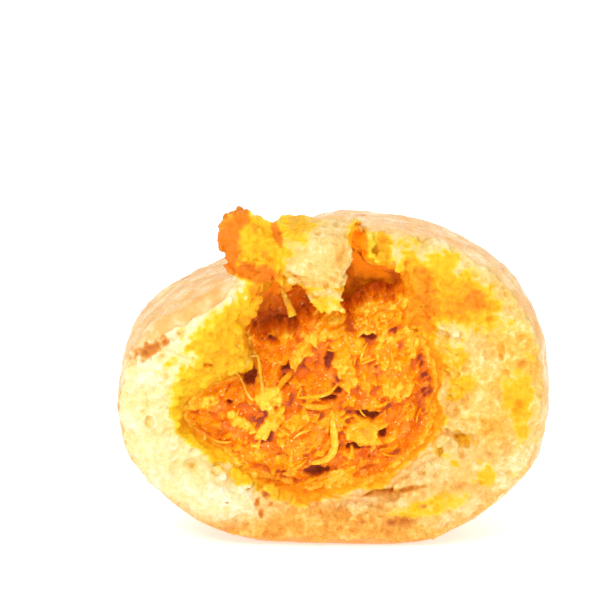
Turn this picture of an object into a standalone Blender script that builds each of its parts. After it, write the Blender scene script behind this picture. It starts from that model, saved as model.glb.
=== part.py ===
"""A chicken-filled cheese bread bun, torn open so that its filling shows. Metres, +Z up.

The bun stands on its flat base with the torn face towards -Y. The dough is one closed solid: a smooth crust
behind, a ragged torn face in front, a cavity behind the torn face's mouth, and a scrap of dough and crust that
hangs from the roof. The filling is a second solid, a heap of shredded chicken that fills the cavity up to an air
gap under the roof. Both are drawn round one cavity axis, which runs along Y: angle 0 points to +X and 90 to +Z.
"""

import math
import random

import bmesh
import bpy
from mathutils import Euler, Vector, noise

MM = 0.001

# The cavity's axis, and where the bun is widest along Y
AXIS_X = -2.6 * MM
AXIS_Z = 25.3 * MM
WIDEST_Y = -9.0 * MM

# The bun's silhouette, as reaches from the axis
REACH_RIGHT = 38.3 * MM
REACH_TOP = 30.0 * MM
REACH_LEFT = 34.0 * MM
REACH_BOTTOM = 27.7 * MM
SILHOUETTE_POWER = 2.35

# Where the silhouette is pushed in, each an angle, its spread in degrees, and how far
DENTS = (
    (127.0, 31.0, 7.2 * MM),
    (228.0, 26.0, 1.9 * MM),
)

# How far the bun reaches behind its widest place and, before it was torn, in front of it
BACK_REACH = 34.0 * MM
FRONT_REACH = 30.0 * MM
CRUST_POWER = 2.2
BASE_BLEND = 1.0 * MM

# The dents fade out towards the back by this power, and the crust swells by this much over these distances
DENT_FADE = 3
SWELLS = (
    (0.9 * MM, 15.0 * MM),
    (0.35 * MM, 5.5 * MM),
)

# In front the crust curls in sooner under the lower lip: by this share, at this angle, over this spread
LIP_CURL = 0.44
LIP_CURL_ANGLE = 268.0
LIP_CURL_SPREAD = 46.0

# The torn face
TEAR_FORWARD = 8.0 * MM
SHOULDER_FORWARD = 4.5 * MM
SHOULDER_ANGLE = 140.0
SHOULDER_SPREAD = 32.0
LIP_BULGE = 2.2 * MM
MOUTH_SINK = 2.0 * MM
MOUTH_RAGGED = 0.07
COARSE_CRAGS = (1.5 * MM, 6.0 * MM)
FINE_CRAGS = (0.9 * MM, 2.8 * MM)

# The cavity's mouth, as reaches from the axis, and the cavity's back
MOUTH_RIGHT = 19.8 * MM
MOUTH_TOP = 17.6 * MM
MOUTH_LEFT = 19.6 * MM
MOUTH_BOTTOM = 16.2 * MM
MOUTH_POWER = 2.1
CAVITY_BACK_Y = 1.4 * MM
CAVITY_TAPER = 2.2
CAVITY_ROUNDING = 0.42

# Lobes of the mouth, each an angle, its spread in degrees, and how far it reaches out or in
MOUTH_LOBES = (
    (90.0, 21.0, 9.2 * MM),
    (57.0, 12.0, 5.0 * MM),
    (156.0, 16.0, -7.4 * MM),
    (188.0, 14.0, 4.2 * MM),
)

# Pits and cracks in the torn crumb, each a centre (x, z), half sizes (x, z) and a depth
PITS = (
    ((21.4 * MM, 18.2 * MM), (1.9 * MM, 1.6 * MM), 2.4 * MM),
    ((9.9 * MM, 8.8 * MM), (4.8 * MM, 1.5 * MM), 1.8 * MM),
    ((-24.4 * MM, 12.6 * MM), (1.6 * MM, 1.9 * MM), 1.1 * MM),
    ((-29.2 * MM, 19.4 * MM), (1.2 * MM, 1.8 * MM), 0.9 * MM),
)

# The scrap that hangs from the roof: lumps of crumb, each a centre and half sizes
SCRAP_LUMPS = (
    ((-3.2 * MM, -21.2 * MM, 50.6 * MM), (6.4 * MM, 4.2 * MM, 6.2 * MM)),
    ((-6.2 * MM, -19.0 * MM, 54.4 * MM), (4.4 * MM, 3.6 * MM, 2.8 * MM)),
    ((0.2 * MM, -17.4 * MM, 54.0 * MM), (4.4 * MM, 3.8 * MM, 2.0 * MM)),
    ((-1.6 * MM, -21.2 * MM, 45.2 * MM), (3.4 * MM, 2.0 * MM, 2.3 * MM)),
    ((-10.2 * MM, -19.2 * MM, 51.4 * MM), (4.4 * MM, 2.6 * MM, 4.8 * MM)),
    ((-7.4 * MM, -18.2 * MM, 46.2 * MM), (2.6 * MM, 2.2 * MM, 2.6 * MM)),
)
SCRAP_VOXEL = 1.25 * MM
SCRAP_CRAGS = (0.9 * MM, 2.9 * MM)

# The crust at the scrap's left end: a bent plate, as wide, thick and high as this
CRUST_SCRAP_CENTRE = (-14.0 * MM, -19.8 * MM, 51.4 * MM)
CRUST_SCRAP_SIZE = (9.8 * MM, 2.8 * MM, 11.4 * MM)
CRUST_SCRAP_TILT = (8.0, -16.0, 14.0)
CRUST_SCRAP_BEND = 1.6 * MM
CRUST_SCRAP_SPOKES = 26

# The filling: the gap that it keeps to the dough, its heap's top, and how its face stands to the torn face
FILLING_GAP = 0.45 * MM
HEAP_TOP = 13.2 * MM
HEAP_TOP_ANGLE = 78.0
HEAP_TOP_SPREAD = 38.0
HEAP_BULGE = 3.2 * MM
HEAP_EDGE_Y = -15.8 * MM
HEAP_BACK_Y = CAVITY_BACK_Y - FILLING_GAP
HEAP_LEAN = 0.24
HEAP_LUMPS = (1.3 * MM, 4.5 * MM)

# Masses that stand out of the heap's face and hollows that sink into it, each a centre, half sizes and a depth
HEAP_FORMS = (
    ((7.6 * MM, 37.2 * MM), (5.6 * MM, 4.6 * MM), -2.6 * MM),
    ((-5.4 * MM, 18.0 * MM), (6.4 * MM, 4.6 * MM), -2.2 * MM),
    ((1.4 * MM, 31.0 * MM), (3.4 * MM, 5.0 * MM), -1.4 * MM),
    ((9.4 * MM, 18.6 * MM), (5.0 * MM, 3.2 * MM), -1.6 * MM),
    ((-3.2 * MM, 10.4 * MM), (2.4 * MM, 1.8 * MM), 3.4 * MM),
    ((15.2 * MM, 28.0 * MM), (1.5 * MM, 4.4 * MM), 2.6 * MM),
    ((-14.2 * MM, 28.2 * MM), (2.4 * MM, 2.2 * MM), 3.6 * MM),
    ((5.6 * MM, 14.6 * MM), (4.6 * MM, 1.4 * MM), 1.8 * MM),
    ((-9.0 * MM, 35.4 * MM), (4.0 * MM, 2.4 * MM), 2.2 * MM),
)

# The shreds and chunks of chicken that show on the heap
SHRED_COUNT = 20
SHRED_SIDES = 5
SHRED_STEPS = 6
SHRED_LENGTH = (7.0 * MM, 14.0 * MM)
SHRED_THICKNESS = (0.75 * MM, 1.25 * MM)
SHRED_HEADINGS = (15.0, 40.0, 150.0)
SHRED_MARGIN = 0.9 * MM
CHUNK_COUNT = 18
CHUNK_SIZE = (1.6 * MM, 3.2 * MM)
SEED = 11

# How finely the solids are faceted
SPOKES = 88
CAVITY_RINGS = 6
TEAR_RINGS = 10
CRUST_RINGS = 11
HEAP_SPOKES = 48
HEAP_RINGS = 7


def lobe(angle, centre, spread):
    """A smooth bump round the axis: 1 at its centre, and nearly 0 two spreads away. All in degrees."""
    away = (angle - centre + 180.0) % 360.0 - 180.0
    return math.exp(-((away / spread) ** 2))


def superellipse(angle, right, top, left, bottom, power):
    """How far a rounded outline with its own reach on each side lies from the axis, at this angle."""
    across = math.cos(math.radians(angle))
    up = math.sin(math.radians(angle))
    side = right if across > 0 else left
    end = top if up > 0 else bottom
    return (abs(across / side) ** power + abs(up / end) ** power) ** (-1.0 / power)


def silhouette(angle, dented=1.0):
    """The bun's reach from the axis at its widest, with this share of the dents."""
    whole = superellipse(angle, REACH_RIGHT, REACH_TOP, REACH_LEFT, REACH_BOTTOM, SILHOUETTE_POWER)
    return whole - dented * sum(size * lobe(angle, centre, spread) for centre, spread, size in DENTS)


def mouth(angle):
    """The reach of the cavity's mouth from the axis."""
    reach = superellipse(angle, MOUTH_RIGHT, MOUTH_TOP, MOUTH_LEFT, MOUTH_BOTTOM, MOUTH_POWER)
    return reach + sum(size * lobe(angle, centre, spread) for centre, spread, size in MOUTH_LOBES)


def rim_y(angle):
    """Where along Y the crust ends and the torn face begins."""
    return WIDEST_Y - TEAR_FORWARD - SHOULDER_FORWARD * lobe(angle, SHOULDER_ANGLE, SHOULDER_SPREAD)


def front_reach(angle):
    """How far in front of its widest place the unbroken crust would have ended, at this angle."""
    return FRONT_REACH * (1.0 - LIP_CURL * lobe(angle, LIP_CURL_ANGLE, LIP_CURL_SPREAD))


def around(angle, reach, y):
    """The point at this angle and reach from the axis."""
    turn = math.radians(angle)
    return Vector((AXIS_X + reach * math.cos(turn), y, AXIS_Z + reach * math.sin(turn)))


def flattened(point):
    """The point with the bun's underside pressed flat on Z = 0, through a short blend."""
    z = point.z
    if z < -BASE_BLEND:
        z = 0.0
    elif z < BASE_BLEND:
        z = (z + BASE_BLEND) ** 2 / (4.0 * BASE_BLEND)
    return Vector((point.x, point.y, z))


def crust_point(angle, turn):
    """A point of the crust. turn is 0 at the widest place, 90 at the back pole, and negative in front."""
    bend = math.radians(turn)
    power = 2.0 / CRUST_POWER
    dented = math.cos(bend) ** DENT_FADE if turn > 0 else 1.0
    reach = silhouette(angle, dented) * math.cos(bend) ** power
    along = math.copysign(abs(math.sin(bend)) ** power, turn)
    y = WIDEST_Y + (BACK_REACH if turn > 0 else front_reach(angle)) * along
    point = around(angle, reach, y)
    outward = Vector((point.x - AXIS_X, (point.y - WIDEST_Y) * 0.8, point.z - AXIS_Z)).normalized()
    swell = sum(size * noise.noise(point / grain) for size, grain in SWELLS)
    return flattened(point + outward * swell)


def rim_turn(angle):
    """The turn at which the crust reaches the torn face."""
    share = (WIDEST_Y - rim_y(angle)) / front_reach(angle)
    return -math.degrees(math.asin(share ** (CRUST_POWER / 2.0)))


def relief(forms, x, z):
    """How deep these pits, hollows and masses together go at this place. Masses count as negative depths."""
    depth = 0.0
    for (centre_x, centre_z), (half_x, half_z), deep in forms:
        away = ((x - centre_x) / half_x) ** 2 + ((z - centre_z) / half_z) ** 2
        depth += deep * math.exp(-away)
    return depth


def tear_point(angle, share):
    """A point of the torn face. share is 0 at the cavity's mouth and 1 at the crust's rim."""
    rim = crust_point(angle, rim_turn(angle))
    outer = math.hypot(rim.x - AXIS_X, rim.z - AXIS_Z)
    heading = Vector((math.cos(math.radians(angle)), math.sin(math.radians(angle)), share))
    ragged = 1.0 + MOUTH_RAGGED * (1.0 - share) * noise.noise(2.6 * heading)
    flat = around(angle, (mouth(angle) * (1.0 - share) + outer * share) * ragged, 0.0)
    y = rim.y - LIP_BULGE * math.sin(math.pi * share) ** 0.7 + MOUTH_SINK * (1.0 - share) ** 3
    free = min(1.0, 4.0 * (1.0 - share))
    coarse = COARSE_CRAGS[0] * noise.noise(flat / COARSE_CRAGS[1])
    fine = FINE_CRAGS[0] * noise.noise(flat / FINE_CRAGS[1] + Vector((7.0, 3.0, 1.0)))
    y += free * (coarse + fine + relief(PITS, flat.x, flat.z))
    if share == 1.0:
        return rim
    return flattened(Vector((flat.x, y, flat.z)))


def cavity_reach(angle, y):
    """The reach of the cavity's wall from the axis at this place along Y. The cavity narrows to its back."""
    edge = tear_point(angle, 0.0)
    depth = min(max((y - edge.y) / (CAVITY_BACK_Y - edge.y), 0.0), 1.0)
    return math.hypot(edge.x - AXIS_X, edge.z - AXIS_Z) * (1.0 - depth**CAVITY_TAPER) ** CAVITY_ROUNDING


def cavity_point(angle, share):
    """A point of the cavity's wall. share is 0 at its back and 1 at the mouth."""
    edge_y = tear_point(angle, 0.0).y
    y = edge_y + (CAVITY_BACK_Y - edge_y) * math.cos(math.radians(90.0 * share)) ** 0.9
    return around(angle, cavity_reach(angle, y), y)


def mesh_from_rings(name, rings, first_pole, last_pole):
    """A closed mesh through rings of equally many points, with a pole at each end."""
    mesh = bmesh.new()
    loops = [[mesh.verts.new(point) for point in ring] for ring in rings]
    count = len(loops[0])
    start = mesh.verts.new(first_pole)
    end = mesh.verts.new(last_pole)
    for i in range(count):
        j = (i + 1) % count
        mesh.faces.new((start, loops[0][j], loops[0][i]))
        mesh.faces.new((end, loops[-1][i], loops[-1][j]))
        for near, far in zip(loops, loops[1:]):
            mesh.faces.new((near[i], near[j], far[j], far[i]))
    bmesh.ops.recalc_face_normals(mesh, faces=mesh.faces)
    bmesh.ops.triangulate(mesh, faces=mesh.faces)
    return object_from(name, mesh)


def object_from(name, mesh):
    """A scene object holding this bmesh."""
    data = bpy.data.meshes.new(name)
    mesh.to_mesh(data)
    mesh.free()
    made = bpy.data.objects.new(name, data)
    bpy.context.scene.collection.objects.link(made)
    return made


def lump(name, centre, half_sizes, detail=2, roughness=0.16, grain=2.6 * MM):
    """An uneven rounded lump of dough or meat."""
    mesh = bmesh.new()
    bmesh.ops.create_icosphere(mesh, subdivisions=detail, radius=1.0)
    for vertex in mesh.verts:
        place = Vector([c * half for c, half in zip(vertex.co, half_sizes)])
        uneven = 1.0 + roughness * noise.noise((place + Vector(centre)) / grain)
        vertex.co = Vector(centre) + place * uneven
    return object_from(name, mesh)


def hanging_crumb():
    """The scrap's crumb: its lumps grown together into one ragged mass."""
    mesh = bmesh.new()
    for i, (centre, half_sizes) in enumerate(SCRAP_LUMPS):
        piece = lump(f"lump_{i}", centre, half_sizes)
        mesh.from_mesh(piece.data)
        bpy.data.objects.remove(piece)
    crumb = object_from("crumb_scrap", mesh)
    remesh = crumb.modifiers.new("grown_together", "REMESH")
    remesh.mode = "VOXEL"
    remesh.voxel_size = SCRAP_VOXEL
    smooth = crumb.modifiers.new("smooth", "SMOOTH")
    smooth.iterations = 2
    apply_modifiers(crumb)
    for vertex in crumb.data.vertices:
        place = vertex.co / SCRAP_CRAGS[1]
        vertex.co.y += SCRAP_CRAGS[0] * noise.noise(place)
        vertex.co.z += SCRAP_CRAGS[0] * noise.noise(place + Vector((3.0, 8.0, 2.0)))
    return crumb


def crust_scrap():
    """The scrap's left end: a thin piece of crust, bent like a shell, with a ragged edge."""
    half_wide, half_thick, half_high = (size / 2.0 for size in CRUST_SCRAP_SIZE)
    turned = Euler([math.radians(t) for t in CRUST_SCRAP_TILT]).to_matrix()

    def plate_point(turn, share, side):
        across, up = math.cos(turn), math.sin(turn)
        ragged = 1.0 + 0.30 * noise.noise(Vector((across * 1.7, up * 1.7, 5.0)))
        ragged += 0.22 * noise.noise(Vector((across * 5.2, up * 5.2, 2.0)))
        x, z = across * share * ragged * half_wide, up * share * ragged * half_high
        y = side * half_thick * (1.0 - 0.5 * share**2) + CRUST_SCRAP_BEND * (across * share) ** 2
        y += 0.4 * MM * noise.noise(Vector((x, side * MM, z)) / (1.9 * MM))
        return Vector(CRUST_SCRAP_CENTRE) + turned @ Vector((x, y, z))

    turns = [2.0 * math.pi * i / CRUST_SCRAP_SPOKES for i in range(CRUST_SCRAP_SPOKES)]
    layers = ((0.34, -1.0), (0.7, -1.0), (1.0, -0.8), (1.0, 0.8), (0.7, 1.0), (0.34, 1.0))
    rings = [[plate_point(turn, share, side) for turn in turns] for share, side in layers]
    return mesh_from_rings("crust_scrap", rings, plate_point(0.0, 0.0, -1.0), plate_point(0.0, 0.0, 1.0))


def apply_modifiers(target):
    """Keeps the object's evaluated mesh and drops its modifiers."""
    bpy.context.view_layer.update()
    evaluated = target.evaluated_get(bpy.context.evaluated_depsgraph_get())
    applied = bpy.data.meshes.new_from_object(evaluated)
    target.modifiers.clear()
    target.data = applied


def fuse(target, pieces, solver):
    """Joins the pieces onto the target with one Boolean union, applied, and removes them."""
    helpers = bpy.data.collections.new(target.name + "_pieces")
    bpy.context.scene.collection.children.link(helpers)
    for piece in pieces:
        bpy.context.scene.collection.objects.unlink(piece)
        helpers.objects.link(piece)
    union = target.modifiers.new("union", "BOOLEAN")
    union.operation = "UNION"
    union.operand_type = "COLLECTION"
    union.collection = helpers
    union.solver = solver
    apply_modifiers(target)
    for piece in pieces:
        bpy.data.objects.remove(piece)
    bpy.data.collections.remove(helpers)


def make_dough():
    """The torn bun: cavity, torn face, crust and the scrap that hangs from the roof, as one solid."""
    angles = [360.0 * i / SPOKES for i in range(SPOKES)]
    rings = []
    for i in range(1, CAVITY_RINGS):
        rings.append([cavity_point(a, i / CAVITY_RINGS) for a in angles])
    for i in range(TEAR_RINGS + 1):
        rings.append([tear_point(a, i / TEAR_RINGS) for a in angles])
    for i in range(1, CRUST_RINGS):
        share = i / CRUST_RINGS
        rings.append([crust_point(a, rim_turn(a) * (1.0 - share) + 90.0 * share) for a in angles])
    back_of_cavity = around(0.0, 0.0, CAVITY_BACK_Y)
    back_of_bun = around(0.0, 0.0, WIDEST_Y + BACK_REACH)
    dough = mesh_from_rings("dough", rings, back_of_cavity, back_of_bun)
    fuse(dough, [hanging_crumb(), crust_scrap()], "EXACT")
    return dough


def heap_edge(angle):
    """(reach from the axis, place along Y) of the heap's edge: at the dough all round, lower under the roof."""
    slump = lobe(angle, HEAP_TOP_ANGLE, HEAP_TOP_SPREAD)
    reach = min(mouth(angle), mouth(angle) * (1.0 - slump) + HEAP_TOP * slump)
    y = HEAP_EDGE_Y + HEAP_LEAN * max(reach * math.sin(math.radians(angle)), 0.0)
    return min(reach, cavity_reach(angle, y) - FILLING_GAP), y


def heap_face_y(x, z):
    """How far forward the heap's bare face stands at this place."""
    across = x - AXIS_X
    up = z - AXIS_Z
    reach, edge_y = heap_edge(math.degrees(math.atan2(up, across)))
    away = min(1.0, math.hypot(across, up) / reach)
    forms = relief(HEAP_FORMS, x, z) + HEAP_LUMPS[0] * noise.noise(Vector((x, 0.0, z)) / HEAP_LUMPS[1])
    return edge_y - HEAP_BULGE * (1.0 - away**2) + forms * (1.0 - away**4)


def heap_face_point(angle, share):
    """A point of the heap's bare face. share is 0 at the axis and 1 at the heap's edge."""
    flat = around(angle, heap_edge(angle)[0] * share, 0.0)
    return Vector((flat.x, heap_face_y(flat.x, flat.z), flat.z))


def heap_back_point(angle, share):
    """A point of the heap's hidden side, just inside the cavity's wall. share is 0 at its back and 1 at its edge."""
    reach, edge_y = heap_edge(angle)
    y = edge_y + (HEAP_BACK_Y - edge_y) * math.cos(math.radians(90.0 * share)) ** 0.9
    inside = cavity_reach(angle, y + FILLING_GAP) - FILLING_GAP
    return around(angle, max(0.0, min(reach, inside)) * math.sin(math.radians(90.0 * share)) ** 0.3, y)


def shred(name, draw):
    """One shred of chicken: a bent, tapered strip that lies on the heap's face, with its ends sunk in."""
    angle = draw.uniform(0.0, 360.0)
    share = math.sqrt(draw.uniform(0.02, 0.62))
    middle = heap_face_point(angle, share)
    heading = math.radians(draw.choice(SHRED_HEADINGS) + draw.uniform(-25.0, 25.0))
    length = draw.uniform(*SHRED_LENGTH)
    thickness = draw.uniform(*SHRED_THICKNESS)
    curl = draw.uniform(-0.9, 0.9)
    path = []
    for i in range(SHRED_STEPS + 1):
        along = i / SHRED_STEPS - 0.5
        x = middle.x + length * along * math.cos(heading + curl * along)
        z = middle.z + length * along * math.sin(heading + curl * along)
        spoke = math.degrees(math.atan2(z - AXIS_Z, x - AXIS_X))
        reach = math.hypot(x - AXIS_X, z - AXIS_Z)
        held = min(reach, heap_edge(spoke)[0] - thickness - SHRED_MARGIN)
        x = AXIS_X + held * math.cos(math.radians(spoke))
        z = AXIS_Z + held * math.sin(math.radians(spoke))
        proud = thickness * (1.0 - 9.0 * along**4 * 2.2)
        path.append(Vector((x, heap_face_y(x, z) - proud, z)))
    return strip(name, path, thickness)


def strip(name, path, thickness):
    """A closed tube along the path, a little flattened and tapered to both ends."""
    rings = []
    for i, point in enumerate(path):
        ahead = path[min(i + 1, len(path) - 1)] - path[max(i - 1, 0)]
        side = ahead.cross(Vector((0.0, 1.0, 0.0))).normalized()
        lift = side.cross(ahead).normalized()
        taper = thickness * (1.0 - 0.55 * abs(2.0 * i / (len(path) - 1) - 1.0) ** 2)
        turns = [2.0 * math.pi * k / SHRED_SIDES for k in range(SHRED_SIDES)]
        rings.append([point + side * taper * math.cos(t) + lift * 0.75 * taper * math.sin(t) for t in turns])
    return mesh_from_rings(name, rings, path[0], path[-1])


def chunk(name, draw):
    """One small chunk of chicken, half sunk in the heap's face."""
    size = draw.uniform(*CHUNK_SIZE)
    angle = draw.uniform(0.0, 360.0)
    limit = 1.0 - (1.25 * size + SHRED_MARGIN) / heap_edge(angle)[0]
    place = heap_face_point(angle, limit * math.sqrt(draw.uniform(0.0, 1.0)))
    half_sizes = [size * draw.uniform(0.75, 1.15) for _ in range(3)]
    return lump(name, place, half_sizes, detail=1, roughness=0.3)


def make_filling():
    """The heap of shredded chicken, with the shreds and chunks that show fused to it."""
    angles = [360.0 * i / HEAP_SPOKES for i in range(HEAP_SPOKES)]
    rings = []
    for i in range(1, HEAP_RINGS):
        rings.append([heap_back_point(a, i / HEAP_RINGS) for a in angles])
    for i in range(HEAP_RINGS, 0, -1):
        rings.append([heap_face_point(a, i / HEAP_RINGS) for a in angles])
    back = around(0.0, 0.0, HEAP_BACK_Y)
    front = Vector((AXIS_X, heap_face_y(AXIS_X, AXIS_Z), AXIS_Z))
    filling = mesh_from_rings("chicken_filling", rings, back, front)
    draw = random.Random(SEED)
    pieces = [chunk(f"chunk_{i}", draw) for i in range(CHUNK_COUNT)]
    pieces += [shred(f"shred_{i}", draw) for i in range(SHRED_COUNT)]
    fuse(filling, pieces, "MANIFOLD")
    return filling


def add_material(target, name, colour, roughness):
    """A plain shaded material for the solid."""
    material = bpy.data.materials.new(name)
    material.use_nodes = True
    shader = material.node_tree.nodes["Principled BSDF"]
    shader.inputs["Base Color"].default_value = (*colour, 1.0)
    shader.inputs["Roughness"].default_value = roughness
    shader.inputs["Metallic"].default_value = 0.0
    target.data.materials.clear()
    target.data.materials.append(material)


def main():
    for old in list(bpy.data.objects):
        bpy.data.objects.remove(old, do_unlink=True)
    dough = make_dough()
    filling = make_filling()
    add_material(dough, "cheese_dough", (0.93, 0.74, 0.38), 0.55)
    add_material(filling, "chicken_in_sauce", (0.84, 0.33, 0.04), 0.35)
    for made in (dough, filling):
        made.data.shade_smooth()
        made.data.set_sharp_from_angle(angle=math.radians(50.0))


main()
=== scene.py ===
"""The looks of a chicken-filled cheese bread bun, torn open so that its filling shows. Metres, +Z up.

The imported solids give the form. The dough and the filling are rebuilt over them as dense meshes with crumb,
pits, ragged edges, shreds and sauce, and their colours come from masks that are worked out on each mesh.
"""

import math
import random

import bmesh
import bpy
import numpy as np
from mathutils import Euler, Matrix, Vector, noise
from mathutils.bvhtree import BVHTree
from mathutils.kdtree import KDTree


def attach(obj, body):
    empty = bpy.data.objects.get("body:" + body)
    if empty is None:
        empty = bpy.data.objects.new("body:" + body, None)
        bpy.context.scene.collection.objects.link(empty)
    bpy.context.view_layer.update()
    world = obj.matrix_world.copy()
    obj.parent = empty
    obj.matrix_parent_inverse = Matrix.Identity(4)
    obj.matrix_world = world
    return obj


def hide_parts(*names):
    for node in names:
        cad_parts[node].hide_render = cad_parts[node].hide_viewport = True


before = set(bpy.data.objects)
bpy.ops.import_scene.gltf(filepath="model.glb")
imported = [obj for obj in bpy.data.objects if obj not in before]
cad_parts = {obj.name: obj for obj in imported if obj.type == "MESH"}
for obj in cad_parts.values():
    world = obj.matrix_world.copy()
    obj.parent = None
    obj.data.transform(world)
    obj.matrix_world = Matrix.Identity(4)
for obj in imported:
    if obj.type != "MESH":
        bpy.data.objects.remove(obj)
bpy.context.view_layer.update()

MM = 0.001
SEED = 7

# The camera: what it aims at, how high it stands, how far off it is, and how wide a field it sees there
CAMERA_AIM = (-5.7 * MM, -17.0 * MM, 41.5 * MM)
CAMERA_ELEVATION = 10.0
CAMERA_DISTANCE = 600.0 * MM
FIELD_WIDTH = 98.5 * MM
SENSOR_WIDTH = 36.0

# The bun's own shape, as its solid has it. Reaches are to the right, top, left and bottom of the cavity's
# axis, which runs along Y. A lobe is its angle round that axis, its spread, both in degrees, and its size
AXIS_X = -2.6 * MM
AXIS_Z = 25.3 * MM
WIDEST_Y = -9.0 * MM
REACHES = (38.3 * MM, 30.0 * MM, 34.0 * MM, 27.7 * MM)
SILHOUETTE_POWER = 2.35
DENTS = ((127.0, 31.0, 7.2 * MM), (228.0, 26.0, 1.9 * MM))
BACK_REACH = 34.0 * MM
FRONT_REACH = 30.0 * MM
LIP_CURL = (268.0, 46.0, 0.44)
CRUST_POWER = 2.2
TEAR_FORWARD = 8.0 * MM
SHOULDER_FORWARD = (140.0, 32.0, 4.5 * MM)
SHOULDER_CRUST = (147.0, 20.0, 4.4 * MM)
RIM_CRUST = (0.0, 62.0, 1.3 * MM)
MOUTH_REACHES = (19.8 * MM, 17.6 * MM, 19.6 * MM, 16.2 * MM)
MOUTH_POWER = 2.1
MOUTH_LOBES = (
    (90.0, 21.0, 9.2 * MM),
    (57.0, 12.0, 5.0 * MM),
    (156.0, 16.0, -7.4 * MM),
    (188.0, 14.0, 4.2 * MM),
)

# How finely the meshes are made
ROUGH_VOXEL = 0.6 * MM
DOUGH_VOXEL = 0.29 * MM
HEAP_STEP = 0.17 * MM

# How many there are of each small thing that lies at random
CRUMB_PITS = 200
CRUST_DENTS = 160
CRUST_SPOTS = 70
FLAKES = 420
BITS = 520
LOOSE_SHREDS = 34


# Numbers and noise


def smoothstep(low, high, values):
    """0 below low, 1 above high, and a smooth step between."""
    share = np.clip((np.asarray(values) - low) / (high - low), 0.0, 1.0)
    return share * share * (3.0 - 2.0 * share)


def noise_at(points, grain, shift=0.0):
    """Smooth noise from -1 to 1 at each point, with lumps about as large as grain."""
    places = points / grain + np.array((3.1, 7.7, 1.9)) * (shift + 1.0)
    return np.array([noise.noise(place) for place in places])


def fractal_at(points, grain, octaves=4, shift=0.0):
    """Noise with ever finer detail on top."""
    places = points / grain + np.array((5.3, 2.2, 8.8)) * (shift + 1.0)
    return np.array([noise.fractal(place, 1.0, 2.1, octaves) for place in places])


def lobe(angle, centre, spread):
    """A smooth bump round the axis: 1 at its centre, and nearly 0 two spreads away. All in degrees."""
    away = (angle - centre + 180.0) % 360.0 - 180.0
    return np.exp(-((away / spread) ** 2))


def superellipse(angle, reaches, power):
    """How far a rounded outline with its own reach on each side lies from the axis."""
    right, top, left, bottom = reaches
    across = np.cos(np.radians(angle))
    up = np.sin(np.radians(angle))
    side = np.where(across > 0, right, left)
    end = np.where(up > 0, top, bottom)
    return (np.abs(across / side) ** power + np.abs(up / end) ** power) ** (-1.0 / power)


def mouth(angle):
    """The reach of the cavity's mouth from the axis."""
    reach = superellipse(angle, MOUTH_REACHES, MOUTH_POWER)
    return reach + sum(size * lobe(angle, centre, spread) for centre, spread, size in MOUTH_LOBES)


def rim_y(angle):
    """Where along Y the crust ends and the torn face begins."""
    centre, spread, forward = SHOULDER_FORWARD
    return WIDEST_Y - TEAR_FORWARD - forward * lobe(angle, centre, spread)


def outer_reach(angle, y):
    """The reach of the crust from the axis at this angle and place along Y."""
    curl_angle, curl_spread, curl = LIP_CURL
    front = FRONT_REACH * (1.0 - curl * lobe(angle, curl_angle, curl_spread))
    ahead = y < WIDEST_Y
    share = np.clip(np.where(ahead, (WIDEST_Y - y) / front, (y - WIDEST_Y) / BACK_REACH), 0.0, 1.0)
    narrowing = np.cos(np.arcsin(share ** (CRUST_POWER / 2.0)))
    dented = np.where(ahead, 1.0, narrowing**3)
    whole = superellipse(angle, REACHES, SILHOUETTE_POWER)
    dents = sum(size * lobe(angle, centre, spread) for centre, spread, size in DENTS)
    return (whole - dented * dents) * narrowing ** (2.0 / CRUST_POWER)


def polar(points):
    """The angle in degrees and the reach of each point round the cavity's axis."""
    across = points[:, 0] - AXIS_X
    up = points[:, 2] - AXIS_Z
    return np.degrees(np.arctan2(up, across)), np.hypot(across, up)


def in_mm(points):
    """The x, y and z of all points, in mm."""
    return (points / MM).T


def rough_at(points, *layers):
    """Noise in layers, each given by its height, its grain in mm, and a shift that makes it its own."""
    return sum(height * noise_at(points, grain * MM, shift) for height, grain, shift in layers)


def patch_at(points, x, z, half_x, half_z, tilt):
    """A soft patch seen along Y, in mm and degrees: 1 in its middle and towards 0 outside."""
    turn = math.radians(tilt)
    right = points[:, 0] / MM - x
    high = points[:, 2] / MM - z
    across = right * math.cos(turn) + high * math.sin(turn)
    up = high * math.cos(turn) - right * math.sin(turn)
    return np.exp(-((across / half_x) ** 2) - (up / half_z) ** 2)


def patches_at(points, places):
    """The strongest of these patches at each point. The last number of each is its strength."""
    return np.max([strength * patch_at(points, *place) for *place, strength in places], axis=0)


def stains_at(points, places):
    """Like patches_at, but each patch keeps its strength nearly to its edge, which is ragged."""
    ragged = rough_at(points, (0.24, 2.4, 30.0), (0.16, 0.9, 31.0))
    total = np.zeros(len(points))
    for *place, strength in places:
        patch = patch_at(points, *place)
        total = np.maximum(total, strength * smoothstep(0.05, 0.75, patch + ragged * (patch > 0.02)))
    return total


def cells_at(points, grain, shift=0.0):
    """How far each point is from its cell's centre, from 0 to about 1, for cells about as large as grain."""
    places = points / grain + shift
    return np.array([noise.voronoi(place)[0][0] for place in places])


# Meshes


def mesh_object(name, points, triangles):
    """A scene object from arrays of points and triangles."""
    data = bpy.data.meshes.new(name)
    data.vertices.add(len(points))
    data.vertices.foreach_set("co", np.asarray(points, np.float32).ravel())
    data.loops.add(triangles.size)
    data.loops.foreach_set("vertex_index", np.asarray(triangles, np.int32).ravel())
    data.polygons.add(len(triangles))
    data.polygons.foreach_set("loop_start", np.arange(0, triangles.size, 3, dtype=np.int32))
    data.update(calc_edges=True)
    data.validate()
    made = bpy.data.objects.new(name, data)
    bpy.context.scene.collection.objects.link(made)
    return made


def rows_of(items, name, kind=float):
    """The values with this name of all items, three to a row."""
    values = np.empty(len(items) * 3, kind)
    items.foreach_get(name, values)
    return values.reshape(-1, 3)


def points_of(shape):
    return rows_of(shape.data.vertices, "co")


def normals_of(shape):
    return rows_of(shape.data.vertex_normals, "vector")


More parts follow.
